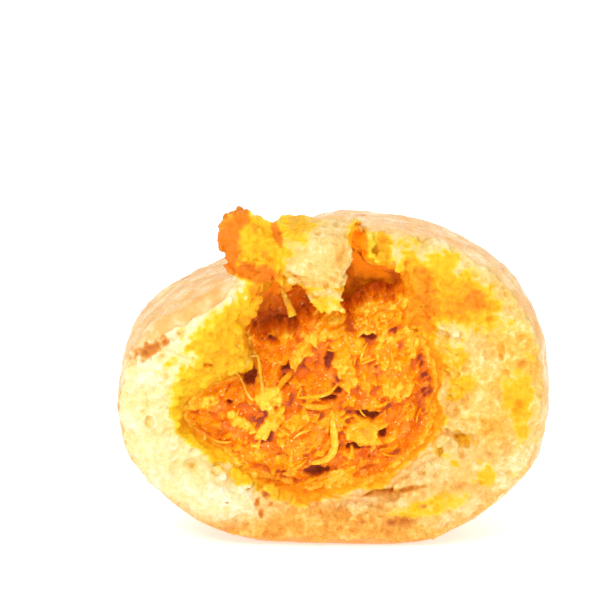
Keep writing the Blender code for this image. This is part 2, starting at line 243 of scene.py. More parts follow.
def triangles_of(shape):
    shape.data.calc_loop_triangles()
    return rows_of(shape.data.loop_triangles, "vertices", np.int32)


def move_points(shape, points):
    shape.data.vertices.foreach_set("co", np.asarray(points, np.float32).ravel())
    shape.data.update()


def joined(pieces):
    """One pair of arrays from many (points, triangles) pairs."""
    count = 0
    all_points = []
    all_triangles = []
    for points, triangles in pieces:
        all_points.append(points)
        all_triangles.append(triangles + count)
        count += len(points)
    return np.concatenate(all_points), np.concatenate(all_triangles)


def tree_of(points, triangles):
    """A search tree over a triangle mesh."""
    return BVHTree.FromPolygons([Vector(p) for p in points], triangles.tolist())


def keep_applied(shape):
    """Keeps the object's evaluated mesh and drops its modifiers."""
    bpy.context.view_layer.update()
    evaluated = shape.evaluated_get(bpy.context.evaluated_depsgraph_get())
    applied = bpy.data.meshes.new_from_object(evaluated)
    shape.modifiers.clear()
    shape.data = applied


def remeshed(name, pieces, voxel, smoothing):
    """The pieces grown together into one mesh of this voxel size, then smoothed this many times."""
    shape = mesh_object(name, *joined(pieces))
    remesh = shape.modifiers.new("grown_together", "REMESH")
    remesh.mode = "VOXEL"
    remesh.voxel_size = voxel
    smooth = shape.modifiers.new("smooth", "SMOOTH")
    smooth.iterations = smoothing
    keep_applied(shape)
    return shape


def without_hidden_bubbles(shape):
    """Drops the small closed surfaces that growing together leaves inside, and any tiny loose crumb."""
    mesh = bmesh.new()
    mesh.from_mesh(shape.data)
    mesh.verts.ensure_lookup_table()
    seen = np.zeros(len(mesh.verts), bool)
    islands = []
    for start in mesh.verts:
        if seen[start.index]:
            continue
        seen[start.index] = True
        stack = [start]
        island = []
        while stack:
            vert = stack.pop()
            island.append(vert)
            for edge in vert.link_edges:
                other = edge.other_vert(vert)
                if not seen[other.index]:
                    seen[other.index] = True
                    stack.append(other)
        islands.append(island)
    largest = max(islands, key=len)
    hidden = [vert for island in islands if island is not largest for vert in island]
    bmesh.ops.delete(mesh, geom=hidden, context="VERTS")
    mesh.to_mesh(shape.data)
    mesh.free()


def write_masks(shape, masks):
    """Stores one number for each vertex under each of these names, for the material to read."""
    count = len(shape.data.vertices)
    for name, values in masks.items():
        layer = shape.data.attributes.new(name, "FLOAT", "POINT")
        values = np.broadcast_to(np.clip(values, 0.0, 1.0), count)
        layer.data.foreach_set("value", np.ascontiguousarray(values, np.float32))


def dress(shape, material):
    """Gives the shape its material and smooth shading."""
    shape.data.materials.append(material)
    shape.data.shade_smooth()
    return shape


def openness(shape, reach, rays=9):
    """How open the surface lies at each vertex: 1 in the open, towards 0 in a crevice, where shade is painted
    into the colour.
    """
    points = points_of(shape)
    normals = normals_of(shape)
    tree = tree_of(points, triangles_of(shape))
    golden = math.pi * (3.0 - math.sqrt(5.0))
    heights = [0.25 + 0.7 * (i + 0.5) / rays for i in range(rays)]
    spread = [
        (math.sqrt(1.0 - h * h) * math.cos(i * golden), math.sqrt(1.0 - h * h) * math.sin(i * golden), h)
        for i, h in enumerate(heights)
    ]
    free = np.zeros(len(points))
    for i, (point, normal) in enumerate(zip(points, normals)):
        up = Vector(normal)
        side = up.orthogonal().normalized()
        ahead = up.cross(side)
        start = Vector(point) + up * (0.06 * MM)
        for a, b, c in spread:
            hit = tree.ray_cast(start, side * a + ahead * b + up * c, reach)
            free[i] += 1.0 if hit[0] is None else hit[3] / reach
    return free / rays


def ball_template(detail):
    """A round ball as arrays."""
    mesh = bmesh.new()
    bmesh.ops.create_icosphere(mesh, subdivisions=detail, radius=1.0)
    points = np.array([v.co[:] for v in mesh.verts])
    triangles = np.array([[v.index for v in f.verts] for f in mesh.faces])
    mesh.free()
    return points, triangles


BALL = ball_template(2)


def rough_ball(centre, half_sizes, turn, rough, grain):
    """An uneven rounded lump as arrays: centre, half sizes, a rotation matrix, and how rough it is."""
    points, triangles = BALL
    shaped = points * np.asarray(half_sizes)
    shaped = shaped * (1.0 + rough * noise_at(shaped + np.asarray(centre), grain))[:, None]
    return shaped @ np.asarray(turn).T + np.asarray(centre), triangles


def tube(path, radii, sides, thickness=1.0):
    """A closed tube along the path, as arrays. Below 1, the thickness flattens it front to back."""
    path = np.asarray(path, float)
    ahead = np.gradient(path, axis=0)
    ahead /= np.linalg.norm(ahead, axis=1)[:, None] + 1e-12
    guide = np.array((0.0, 1.0, 0.0)) if abs(ahead[0, 1]) < 0.9 else np.array((1.0, 0.0, 0.0))
    side = np.cross(ahead, guide)
    side /= np.linalg.norm(side, axis=1)[:, None] + 1e-12
    lift = thickness * np.cross(side, ahead)
    turns = np.arange(sides) * 2.0 * math.pi / sides
    ring = np.cos(turns)[None, :, None] * side[:, None, :] + np.sin(turns)[None, :, None] * lift[:, None, :]
    rings = path[:, None, :] + ring * np.asarray(radii)[:, None, None]
    points = np.concatenate([rings.reshape(-1, 3), path[:1], path[-1:]])
    steps = len(path)
    triangles = []
    for i in range(steps - 1):
        for k in range(sides):
            a, b = i * sides + k, i * sides + (k + 1) % sides
            triangles += [(a, a + sides, b), (b, a + sides, b + sides)]
    first, last = steps * sides, steps * sides + 1
    for k in range(sides):
        nxt = (k + 1) % sides
        triangles.append((first, k, nxt))
        triangles.append((last, (steps - 1) * sides + nxt, (steps - 1) * sides + k))
    return points, np.array(triangles)


def smooth_path(stops, count):
    """A smooth curve through the stops, as count points."""
    stops = np.asarray(stops, float)
    padded = np.concatenate([2 * stops[:1] - stops[1:2], stops, 2 * stops[-1:] - stops[-2:-1]])
    out = []
    for s in np.linspace(0.0, len(stops) - 1.0, count):
        i = min(int(s), len(stops) - 2)
        t = s - i
        a, b, c, d = padded[i : i + 4]
        bend = (2 * a - 5 * b + 4 * c - d) * t**2 + (3 * b - a - 3 * c + d) * t**3
        out.append(0.5 * (2 * b + (c - a) * t + bend))
    return np.array(out)


# Materials

# Painted glow, standing in for light that soaks through the thin walls and the moist meat, as a share of full
# white
WALL_GLOW = 0.50
MEAT_GLOW = 0.055

# Colours along a value: the value, then red, green and blue out of 255
CRUMB = ((0.38, 251, 222, 142), (0.46, 253, 232, 162), (0.52, 254, 237, 182), (0.60, 255, 247, 224))
WARM_CRUMB = ((0.38, 236, 160, 44), (0.46, 245, 182, 64), (0.52, 250, 200, 86), (0.60, 255, 234, 156))
BAKED_CRUMB = ((0.38, 222, 136, 44), (0.46, 238, 163, 56), (0.52, 246, 184, 74), (0.61, 252, 217, 128))
STAIN = (
    (0.16, 255, 230, 96),
    (0.36, 254, 212, 26),
    (0.58, 252, 190, 16),
    (0.82, 249, 156, 12),
    (1.0, 238, 130, 6),
)
# The orange of the stained walls, darker where the wall mask is higher, deep in the cavity: partly painted
# shade
WALL = ((0.2, 250, 178, 24), (0.5, 237, 142, 14), (0.9, 214, 108, 26))
CRUST = ((0.38, 237, 176, 98), (0.5, 244, 196, 126), (0.61, 251, 222, 170))
SCORCHED = ((0.3, 240, 170, 76), (0.6, 224, 138, 44), (0.95, 186, 96, 26))
# Painted shade: the dough's colour is multiplied by these along how open it lies, so its crevices and pits are
# darker and more golden
CREVICE_SHADE = ((0.25, 242, 200, 116), (0.50, 253, 232, 176), (0.80, 255, 255, 255))
MEAT = (
    (0.02, 226, 104, 4),
    (0.28, 240, 130, 4),
    (0.50, 248, 150, 6),
    (0.72, 254, 176, 12),
    (0.96, 255, 208, 62),
)
# Painted shade of the cavity, for the heap where it falls back into it: darkest just above the heap's top line
CAVITY_SHADE = ((0.5, 238, 146, 26), (0.72, 214, 118, 36), (0.96, 190, 96, 50))


def colour(red, green, blue):
    """A colour in the shader's linear numbers, from its red, green and blue out of 255."""
    shares = [part / 255.0 for part in (red, green, blue)]
    return tuple(((share + 0.055) / 1.055) ** 2.4 if share > 0.04 else share / 12.92 for share in shares)


class Shader:
    """A material being built: short calls for the nodes that it needs."""

    def __init__(self, name):
        self.material = bpy.data.materials.new(name)
        self.material.use_nodes = True
        self.tree = self.material.node_tree
        self.surface = self.tree.nodes["Principled BSDF"]
        self.place = self.tree.nodes.new("ShaderNodeTexCoord").outputs["Object"]

    def link(self, source, target):
        """Steers the target with a number, a colour, or another node's output."""
        if isinstance(source, (int, float)):
            target.default_value = source
        elif isinstance(source, tuple):
            target.default_value = (*source, 1.0)
        else:
            self.tree.links.new(source, target)

    def paint(self, name, source):
        """Lets the source steer this input of the surface."""
        self.link(source, self.surface.inputs[name])

    def fix(self, values):
        """Sets the surface's inputs that are the same all over."""
        for name, value in values.items():
            self.surface.inputs[name].default_value = value

    def node(self, kind, sources):
        """A new node of this kind, with these sources for its inputs."""
        made = self.tree.nodes.new("ShaderNode" + kind)
        for name, source in sources.items():
            self.link(source, made.inputs[name])
        return made

    def mask(self, name):
        """The numbers that the mesh stores under this name."""
        node = self.node("Attribute", {})
        node.attribute_name = name
        return node.outputs["Fac"]

    def noise(self, grain, detail=3.0, roughness=0.5):
        """Noise from 0 to 1 with lumps about as large as grain."""
        sources = {"Vector": self.place, "Scale": 1.0 / grain, "Detail": detail, "Roughness": roughness}
        return self.node("TexNoise", sources).outputs["Fac"]

    def cells(self, grain):
        """The distance from the middle of the nearest cell, as a share of the cells' size."""
        return self.node("TexVoronoi", {"Vector": self.place, "Scale": 1.0 / grain}).outputs["Distance"]

    def math(self, operation, a, b):
        node = self.node("Math", {0: a, 1: b})
        node.operation = operation
        return node.outputs[0]

    def add(self, a, b):
        return self.math("ADD", a, b)

    def times(self, a, b):
        return self.math("MULTIPLY", a, b)

    def sway(self, value, amount):
        """The value's distance from one half, times the amount."""
        return self.times(self.math("SUBTRACT", value, 0.5), amount)

    def blend(self, *layers):
        """The sum of the layers, each a value and its weight."""
        total = 0.0
        for value, weight in layers:
            total = self.add(total, self.times(value, weight))
        return total

    def span(self, value, low, high, to_low=0.0, to_high=1.0):
        """The value mapped smoothly from one span to another."""
        ends = {"From Min": low, "From Max": high, "To Min": to_low, "To Max": to_high}
        node = self.node("MapRange", {"Value": value, **ends})
        node.interpolation_type = "SMOOTHSTEP"
        return node.outputs["Result"]

    def mix(self, factor, a, b, blend="MIX"):
        node = self.tree.nodes.new("ShaderNodeMix")
        node.data_type = "RGBA"
        node.blend_type = blend
        self.link(factor, node.inputs["Factor"])
        self.link(a, node.inputs[6])
        self.link(b, node.inputs[7])
        return node.outputs[2]

    def ramp(self, value, stops):
        """The colours of the stops along the value."""
        node = self.node("ValToRGB", {"Fac": value})
        elements = node.color_ramp.elements
        while len(elements) < len(stops):
            elements.new(0.5)
        for element, (position, *shade) in zip(elements, stops):
            element.position = position
            element.color = (*colour(*shade), 1.0)
        return node.outputs["Color"]

    def bump(self, height, distance):
        """Fine relief that is only seen in how the surface catches light."""
        self.paint("Normal", self.node("Bump", {"Height": height, "Distance": distance}).outputs["Normal"])


def dough_material():
    """Cheese dough: pale torn crumb, sauce stains, orange walls with a painted glow, a thin golden crust, and
    painted shade in its hollows and crevices.
    """
    s = Shader("cheese_dough")
    broad = s.noise(6.0 * MM, 2.0)
    middle = s.noise(1.8 * MM, 6.0, 0.72)
    fine = s.noise(0.55 * MM, 4.0, 0.7)
    warm = s.mask("warm")
    stained = s.mask("stain")

    # The relief paints the crumb's hollows darker and more golden and its ridges paler: painted shade and
    # highlight
    varied = s.blend((broad, 0.16), (middle, 0.35), (fine, 0.29), (s.mask("relief"), 0.20))
    torn = s.mix(warm, s.ramp(varied, CRUMB), s.ramp(varied, WARM_CRUMB))
    torn = s.mix(s.mask("baked"), torn, s.ramp(varied, BAKED_CRUMB))

    uneven = s.add(s.sway(s.noise(1.3 * MM, 5.0, 0.7), 0.9), s.sway(s.mask("relief"), -0.3))
    uneven = s.times(uneven, s.span(warm, 0.0, 0.6, 0.6, 1.0))
    sauce = s.add(stained, s.times(uneven, s.span(stained, 0.0, 0.3)))
    stain = s.ramp(s.add(sauce, s.span(warm, 0.2, 0.8, 0.0, 0.16)), STAIN)
    torn = s.mix(s.span(sauce, 0.06, 0.40), torn, stain)

    # The cavity's walls: orange stain that is darker further in, which is partly painted shade
    inside = s.span(s.mask("wall"), 0.12, 0.5)
    torn = s.mix(inside, torn, s.ramp(s.add(s.mask("wall"), s.sway(varied, 1.6)), WALL))

    crust = s.ramp(s.blend((s.noise(3.4 * MM, 4.0, 0.62), 0.8), (fine, 0.2)), CRUST)
    toast = s.add(s.mask("toast"), s.sway(middle, 0.5))
    crust = s.mix(s.span(toast, 0.20, 0.85), crust, colour(238, 170, 78))
    crust = s.mix(s.span(toast, 0.70, 1.15), crust, colour(214, 130, 46))

    body = s.mix(s.span(s.mask("crust"), 0.25, 0.75), torn, crust)
    scorch = s.add(s.mask("scorch"), s.sway(middle, 0.9))
    body = s.mix(s.span(scorch, 0.20, 0.55), body, s.ramp(scorch, SCORCHED))
    # Painted shade in the crevices and pits, by how open the dough lies
    body = s.mix(1.0, body, s.ramp(s.mask("open"), CREVICE_SHADE), "MULTIPLY")
    s.paint("Base Color", body)
    s.paint("Roughness", s.span(middle, 0.40, 0.60, 0.18, 0.55))
    # Painted glow on the cavity's walls, though no lamp is there
    s.paint("Emission Strength", s.times(inside, s.span(broad, 0.35, 0.62, 0.2 * WALL_GLOW, 1.3 * WALL_GLOW)))
    s.fix(
        {
            "Subsurface Weight": 0.22,
            "Subsurface Radius": (1.0, 0.55, 0.22),
            "Subsurface Scale": 0.5 * MM,
            "Specular IOR Level": 0.3,
            "Emission Color": (*colour(236, 134, 8), 1.0),
        }
    )
    pores = s.times(s.cells(0.9 * MM), s.math("SUBTRACT", 1.0, s.mask("crust")))
    relief = s.blend((fine, 0.7), (s.noise(0.22 * MM), 1.0), (pores, 0.35))
    s.bump(s.times(relief, s.span(s.mask("crust"), 0.0, 1.0, 1.0, 0.3)), 0.28 * MM)
    return s.material


def filling_material():
    """Shredded chicken in orange sauce: moist, deep orange to yellow by tone, with painted shade in its
    hollows, a painted glow and painted glints.
    """
    s = Shader("chicken_in_sauce")
    fine = s.noise(0.4 * MM, 4.0, 0.6)
    lit = s.mask("open")
    tone = s.add(s.mask("tone"), s.sway(s.noise(1.3 * MM, 5.0, 0.7), 0.8))
    tone = s.add(tone, s.sway(fine, 0.5))
    meat = s.ramp(tone, MEAT)
    rosy = s.times(s.span(s.noise(2.6 * MM, 2.0), 0.54, 0.66), s.span(tone, 0.75, 0.45))
    meat = s.mix(s.times(rosy, 0.35), meat, colour(246, 158, 78))
    # Painted shade: the meat darkens to deep orange and then purple-brown where it lies less open
    meat = s.mix(s.span(lit, 0.90, 0.45), meat, colour(222, 112, 38))
    meat = s.mix(s.span(lit, 0.50, 0.05), meat, colour(158, 70, 52))
    # Painted shade where the heap falls back into the cavity
    meat = s.mix(s.span(s.mask("cavity_shade"), 0.0, 0.6), meat, s.ramp(s.mask("cavity_shade"), CAVITY_SHADE))
    # Painted glints: small pale specks, only where the meat lies open
    painted_glints = s.times(s.span(s.cells(0.85 * MM), 0.24, 0.13), s.span(lit, 0.6, 0.95, 0.0, 0.85))
    meat = s.mix(painted_glints, meat, colour(255, 228, 150))
    s.paint("Base Color", meat)
    s.paint("Roughness", s.span(fine, 0.3, 0.7, 0.06, 0.40))
    s.fix(
        {
            "Subsurface Weight": 0.25,
            "Subsurface Radius": (1.0, 0.45, 0.10),
            "Subsurface Scale": 0.6 * MM,
            "Specular IOR Level": 0.22,
            # The emission is a painted glow over the whole filling, though no lamp is there
            "Emission Color": (*colour(255, 118, 10), 1.0),
            "Emission Strength": MEAT_GLOW,
        }
    )
    s.bump(s.blend((fine, 1.0), (s.noise(0.18 * MM, 2.0), 0.5)), 0.18 * MM)
    return s.material


# The dough

# Patches on the torn face, seen along Y, in mm: x, z, half x, half z, tilt in degrees, strength. The first two
# tables say where sauce has stained the crumb, and the scrap that hangs from the roof
STAINS = (
    (-16.8, 35.4, 10.6, 6.0, 51.0, 0.60),
    (-11.6, 43.2, 3.4, 1.8, -20.0, 0.80),
    (-12.6, 38.2, 4.6, 2.4, 60.0, 0.54),
    (-15.4, 32.0, 3.8, 2.2, 40.0, 0.52),
    (-22.6, 28.8, 4.4, 2.0, 38.0, 0.44),
    (-24.8, 26.0, 2.6, 3.6, 0.0, 0.42),
    (-23.0, 35.0, 1.9, 0.9, 30.0, 0.60),
    (-26.6, 32.0, 1.6, 0.9, 30.0, 0.36),
    (19.2, 42.6, 8.6, 4.2, -27.0, 0.60),
    (13.2, 41.6, 4.8, 8.0, 10.0, 0.78),
    (17.6, 47.8, 3.0, 2.2, 0.0, 0.50),
    (23.4, 41.6, 2.8, 2.0, -35.0, 0.74),
    (19.0, 32.4, 3.0, 3.0, 0.0, 0.34),
    (21.4, 18.0, 1.3, 1.3, -20.0, 0.28),
    (21.0, 27.6, 3.0, 1.6, 20.0, 0.40),
    (30.4, 25.6, 2.5, 4.2, 0.0, 0.46),
    (30.8, 20.6, 1.2, 2.8, 0.0, 0.42),
    (25.2, 12.4, 1.5, 1.9, 0.0, 0.44),
    (17.4, 7.6, 6.0, 1.7, 12.0, 0.34),
    (11.6, 6.0, 3.0, 1.2, 0.0, 0.26),
    (3.8, 50.4, 2.0, 4.8, 0.0, 0.92),
    (7.9, 50.2, 1.5, 3.4, 0.0, 0.66),
    (6.2, 50.0, 0.9, 4.4, 0.0, 0.42),
    (-8.6, 41.6, 3.6, 2.6, 0.0, 0.88),
)
SCRAP_STAINS = (
    (-12.4, 50.6, 4.6, 6.2, 0.0, 0.56),
    (-17.5, 50.8, 2.7, 7.6, 0.0, 1.15),
    (-15.4, 56.2, 1.7, 2.4, 0.0, 1.05),
    (-13.2, 46.6, 4.8, 2.0, -10.0, 1.05),
    (-9.5, 53.2, 0.8, 2.6, 20.0, 1.00),
    (-11.4, 49.8, 1.0, 0.7, 40.0, 0.80),
    (-13.0, 54.0, 0.5, 1.4, 10.0, 0.80),
    (-6.6, 54.6, 3.0, 2.4, 0.0, 0.46),
    (-9.4, 47.4, 1.6, 3.0, 0.0, 0.40),
    (-1.4, 41.4, 3.6, 2.4, 0.0, 0.32),
)

# Where the crumb is a warmer yellow
WARM_PLACES = (
    (26.0, 28.0, 16.0, 24.0, 0.0, 1.1),
    (12.0, 8.0, 14.0, 5.0, 8.0, 0.9),
    (-8.0, 8.4, 7.5, 5.0, -10.0, 0.8),
    (14.0, 50.0, 12.0, 5.0, -15.0, 0.6),
    (-2.6, 49.6, 9.0, 9.0, 0.0, 1.0),
)

# Where the crumb is baked to a deeper gold
BAKED_PLACES = (
    (1.2, 51.0, 1.6, 3.6, 0.0, 0.80),
    (3.0, 55.4, 4.4, 1.8, 0.0, 1.00),
    (-12.0, 52.2, 3.0, 3.6, 0.0, 1.00),
    (14.0, 4.4, 9.0, 2.8, 10.0, 1.00),
    (20.0, 9.4, 8.0, 3.0, 24.0, 0.7),
    (26.0, 17.0, 4.0, 6.0, -20.0, 0.4),
    (21.4, 18.2, 1.8, 1.5, -20.0, 0.7),
    (10.0, 9.5, 5.0, 0.9, 13.0, 1.1),
)

# Where the scrap's crumb is smoother
CALM_PLACES = (
    (-2.6, 50.0, 5.6, 6.4, 0.0, 1.0),
    (-1.0, 41.6, 4.4, 3.0, 0.0, 1.0),
)

# Scorched spots along the base, and a darker streak on the left shoulder's crust
SCORCHES = (
    (-11.3, 9.0, 0.9, 0.7, -30.0, 0.80),
    (-12.7, 7.8, 0.6, 0.9, 0.0, 0.70),
    (-10.6, 7.3, 0.8, 0.4, 20.0, 0.62),
    (-12.2, 6.0, 0.6, 0.9, 0.0, 0.72),
    (-17.8, 8.0, 0.7, 0.3, -20.0, 0.50),
    (-6.8, 6.9, 0.7, 0.4, 0.0, 0.55),
    (-1.4, 4.9, 0.6, 0.3, 10.0, 0.50),
    (9.9, 4.6, 2.2, 1.1, 0.0, 0.84),
    (14.6, 7.2, 1.0, 0.4, 20.0, 0.50),
    (4.6, 4.8, 1.1, 0.5, 10.0, 0.7),
    (-30.2, 34.0, 5.2, 1.4, 31.0, 0.66),
)

# The orange wall between the scrap and the roof's torn edge on its right, and the flake under the scrap
CLEFT = (3.6, 49.6, 2.1, 5.4, 4.0)
FLAKE = (-1.6, 41.8, 3.6, 3.0, 0.0)

# Holes and crevices torn into the crumb, as such patches with their depth last
HOLES = (
    (21.4, 18.2, 1.7, 1.5, -20.0, 1.3),
    (20.9, 16.1, 0.5, 1.1, 10.0, 0.7),
    (7.2, 8.8, 3.2, 0.42, 13.0, 0.9),
    (12.6, 10.1, 2.6, 0.6, 14.0, 0.9),
    (9.9, 8.5, 1.0, 1.2, 0.0, 1.0),
    (8.0, 11.8, 0.5, 0.3, 0.0, 0.7),
    (-30.6, 21.6, 0.7, 1.2, 0.0, 0.9),
    (-27.6, 19.6, 1.2, 0.8, 30.0, 0.6),
    (-23.8, 14.2, 1.3, 1.1, 0.0, 0.8),
    (-19.6, 13.4, 1.6, 0.8, 0.0, 0.6),
    (-20.8, 31.8, 0.9, 0.5, 10.0, 0.9),
    (3.6, 49.6, 1.5, 4.6, 4.0, 2.6),
)

# Where the top of the hanging scrap dips, in mm: middle along X, half width, depth
SCRAP_DIPS = ((-4.0, 6.0, 1.2), (-10.6, 1.2, 1.0))

# Torn edges seen from the front, in mm: the line that they follow, how many crumbs, their sizes, the spread
# to both sides, and how far forward they stand
TORN_EDGES = (
    (
        ((-10.0, 41.2), (-12.6, 38.2), (-14.4, 34.8), (-14.8, 31.6), (-19.6, 28.6), (-22.8, 26.8)),
        90,
        (0.4, 1.1),
        0.7,
        0.3,
    ),
    (((-21.5, 33.0), (-16.0, 37.5), (-12.0, 41.0)), 46, (0.5, 1.3), 1.6, 0.0),
    (((-9.0, 43.6), (-6.4, 41.8), (-2.0, 42.6), (1.6, 42.6), (3.6, 44.0)), 40, (0.3, 0.9), 0.5, 0.2),
    (((6.0, 54.0), (6.2, 51.5), (6.0, 48.6), (6.2, 46.4)), 30, (0.4, 1.0), 0.4, 0.4),
    (((10.4, 44.0), (12.4, 40.0), (15.4, 36.4), (17.2, 31.0)), 120, (0.4, 1.2), 1.3, 0.1),
    (((17.6, 30.0), (17.4, 22.0), (13.0, 14.0), (7.0, 10.6)), 110, (0.4, 1.2), 0.9, 0.1),
    (((-24.6, 24.4), (-20.0, 17.0), (-12.0, 12.6), (-2.0, 9.6), (6.0, 10.2)), 150, (0.4, 1.2), 0.9, 0.1),
)

# The jagged flake of crumb that hangs under the scrap, in mm: its outline seen from the front, and its faces
FRINGE = (
    (-4.6, 44.4), (-4.1, 42.3), (-4.6, 41.7), (-3.8, 41.5), (-3.3, 40.8), (-3.6, 39.5),
    (-2.7, 40.4), (-2.2, 40.2), (-1.7, 40.9), (-1.0, 40.0), (-0.5, 40.8), (0.2, 40.9),
    (1.7, 40.1), (1.0, 41.3), (0.3, 41.9), (0.9, 42.7), (0.4, 44.4),
)
FRINGE_Y = (-21.7, -20.5)

# Crumbs round the torn edges of the scrap and of its crust, in mm and degrees: how many, the middle of their
# arc, its reaches along X and Z, the turns that it spans, how far they stray along Y, and their sizes
SCRAP_CRUMBS = (24, (-3.0, -21.2, 50.2), (5.8, 5.9), (150.0, 325.0), (-2.5, 0.6), (0.6, 1.2))
PLATE_CRUMBS = (34, (-14.0, -20.0, 51.2), (4.7, 5.6), (80.0, 290.0), (-0.9, 0.9), (0.35, 1.0))

# A place just in front of the torn face, from which the nearest dough is looked for
IN_FRONT_Y = -21.0 * MM


def solid_arrays(node):
    """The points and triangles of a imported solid."""
    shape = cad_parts[node]
    return points_of(shape), triangles_of(shape)


class Ground:
    """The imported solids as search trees, with the questions that the pieces ask of them."""

    def __init__(self):
        self.dough = solid_arrays("dough")
        self.dough_tree = tree_of(*self.dough)
        self.filling_tree = tree_of(*solid_arrays("chicken_filling"))

    def front(self, tree, x, z):
        """How far forward the solid stands at this place, or None where a ray along +Y misses it."""
        hit = tree.ray_cast(Vector((x, -0.1, z)), Vector((0.0, 1.0, 0.0)))
        return None if hit[0] is None else hit[0].y

    def shows_filling(self, x, z):
        """Whether the filling is seen from the front at this place."""
        heap = self.front(self.filling_tree, x, z)
        cover = self.front(self.dough_tree, x, z)
        return heap is not None and (cover is None or cover > heap)


class Mouth:
    """How far the torn edge of the cavity's mouth lies from the axis, read from the dough."""

    COUNT = 240

    # Dough that lies farther back than this is the cavity's wall, not the torn edge
    EDGE_Y = -12.5 * MM

    # How far forward the dough may stand past its edge, and where it is taken to stand if nothing is met
    FRONT_LIMITS = (-19.0 * MM, -12.0 * MM)
    USUAL_FRONT = -15.0 * MM

    def __init__(self, ground, tree):
        reaches = []
        fronts = []
        for i in range(self.COUNT):
            angle = 360.0 * i / self.COUNT
            wanted = float(mouth(angle))
            across = math.cos(math.radians(angle))
            up = math.sin(math.radians(angle))
            found = wanted
            for reach in np.arange(0.84 * wanted, 1.25 * wanted, 0.12 * MM):
                y = ground.front(tree, AXIS_X + reach * across, AXIS_Z + reach * up)
                if y is not None and y < self.EDGE_Y:
                    found = reach
                    break
            past = found + 0.4 * MM
            y = ground.front(tree, AXIS_X + past * across, AXIS_Z + past * up)
            reaches.append(found)
            fronts.append(self.USUAL_FRONT if y is None else np.clip(y, *self.FRONT_LIMITS))
        self.reaches = self.evened(reaches, 2)
        self.fronts = self.evened(fronts, 7)
        self.around = np.arange(self.COUNT + 1) * 360.0 / self.COUNT

    def evened(self, values, reach):
        """The values averaged with their neighbours round the mouth, with the first repeated at the end."""
        around = np.mean([np.roll(values, shift) for shift in range(-reach, reach + 1)], axis=0)
        return np.append(around, around[0])

    def edge(self, angle):
        """How far from the axis the torn edge lies."""
        return np.interp(np.asarray(angle) % 360.0, self.around, self.reaches)

    def front(self, angle):
        """How far forward the dough stands just past its torn edge."""
        return np.interp(np.asarray(angle) % 360.0, self.around, self.fronts)


def shard(centre, size, draw, tilt=0.45):
    """A small angular flake of dough, turned at random."""
    half_sizes = [size * draw.uniform(*span) for span in ((0.8, 1.5), (0.3, 0.6), (0.45, 0.9))]
    spin = draw.uniform(0.0, math.pi)
    turn = Euler((draw.gauss(0.0, tilt), -spin, draw.gauss(0.0, tilt))).to_matrix()
    return rough_ball(centre, half_sizes, turn, 0.55, 0.8 * size)


def scattered_along(draw, ground, stops, count, sizes, spread, forward):
    """Rough crumbs of dough along a line seen from the front, in mm, set on the dough's own surface."""
    steps = 80
    line = smooth_path([(x, 0.0, z) for x, z in stops], steps)
    pieces = []
    for _ in range(count):
        x, _, z = line[draw.randrange(steps)]
        x += draw.gauss(0.0, spread)
        z += draw.gauss(0.0, spread)
        near = ground.dough_tree.find_nearest(Vector((x * MM, IN_FRONT_Y, z * MM)))[0]
        centre = near + Vector((0.0, -forward * MM, 0.0))
        pieces.append(shard(centre, draw.uniform(*sizes) * MM, draw))
    return pieces


def scattered_round(draw, count, centre, reaches, turns, depths, sizes):
    """Crumbs along an arc round the centre, seen from the front, in mm and degrees."""
    pieces = []
    for _ in range(count):
        turn = math.radians(draw.uniform(*turns))
        edge = np.array((reaches[0] * math.cos(turn), draw.uniform(*depths), reaches[1] * math.sin(turn)))
        pieces.append(shard((centre + edge) * MM, draw.uniform(*sizes) * MM, draw))
    return pieces


def scattered_within(draw, count, across, y, up, sizes, tilt=0.45):
    """Crumbs in an area seen from the front, in mm."""
    pieces = []
    for _ in range(count):
        place = np.array((draw.uniform(*across), y, draw.uniform(*up)))
        pieces.append(shard(place * MM, draw.uniform(*sizes) * MM, draw, tilt))
    return pieces


def spike(start, end, base, tip):
    """A tapered tatter of dough from start to end, in mm."""
    steps = 8
    path = smooth_path([start, np.mean((start, end), axis=0), end], steps)
    points, triangles = tube(path, np.linspace(base, tip, steps), 8)
    return points * MM, triangles


def slab(outline, near, far):
    """A flat flake with this outline, seen from the front, in mm."""
    count = len(outline)
    middle = np.mean(outline, axis=0)
    rings = [np.array([(x, y, z) for x, z in (*outline, middle)]) for y in (near, far)]
    triangles = []
    for i in range(count):
        after = (i + 1) % count
        triangles.append((count, i, after))
        triangles.append((2 * count + 1, count + 1 + after, count + 1 + i))
        triangles.append((i, count + 1 + i, after))
        triangles.append((after, count + 1 + i, count + 1 + after))
    return np.concatenate(rings) * MM, np.array(triangles)


def scrap_edge(z):
    """How far to the right the hanging scrap reaches at this height, in mm."""
    return 3.9 - 0.58 * np.maximum(0.0, z - 49.0)


def scrap_tatters(draw):
    """The ragged fringe of the scrap that hangs from the roof, and the torn edge of its crust."""
    pieces = scattered_round(draw, *SCRAP_CRUMBS)
    pieces.append(slab(FRINGE, *FRINGE_Y))
    pieces += scattered_within(draw, 9, (-4.0, 0.6), FRINGE_Y[0], (40.8, 43.4), (0.4, 0.8))
    pieces.append(spike((-9.6, -20.6, 47.0), (-8.6, -21.0, 44.4), 0.8, 0.12))
    pieces += scattered_round(draw, *PLATE_CRUMBS)
    pieces += scattered_within(draw, 12, (-15.0, -9.4), -21.2, (46.6, 54.0), (0.5, 1.2), 0.3)
    return pieces


def baked_band(points, width, blend):
    """1 on the torn face's baked lowest part, fading over the blend above this width, both in mm."""
    x = points[:, 0]
    right, _, left, bottom = REACHES
    across = np.abs((x - AXIS_X) / np.where(x > AXIS_X, right, left))
    drop = bottom * np.clip(1.0 - across**SILHOUETTE_POWER, 0.0, 1.0) ** (1.0 / SILHOUETTE_POWER)
    edge = np.maximum(AXIS_Z - drop, 0.0)
    widest = width * (0.38 + 0.62 * np.exp(-(((x / MM + 1.0) / 18.0) ** 2)))
    ragged = rough_at(points, (1.0, 3.4, 11.0), (0.5, 0.9, 12.0))
    return smoothstep(widest + blend, widest - blend, (points[:, 2] - edge) / MM + ragged)


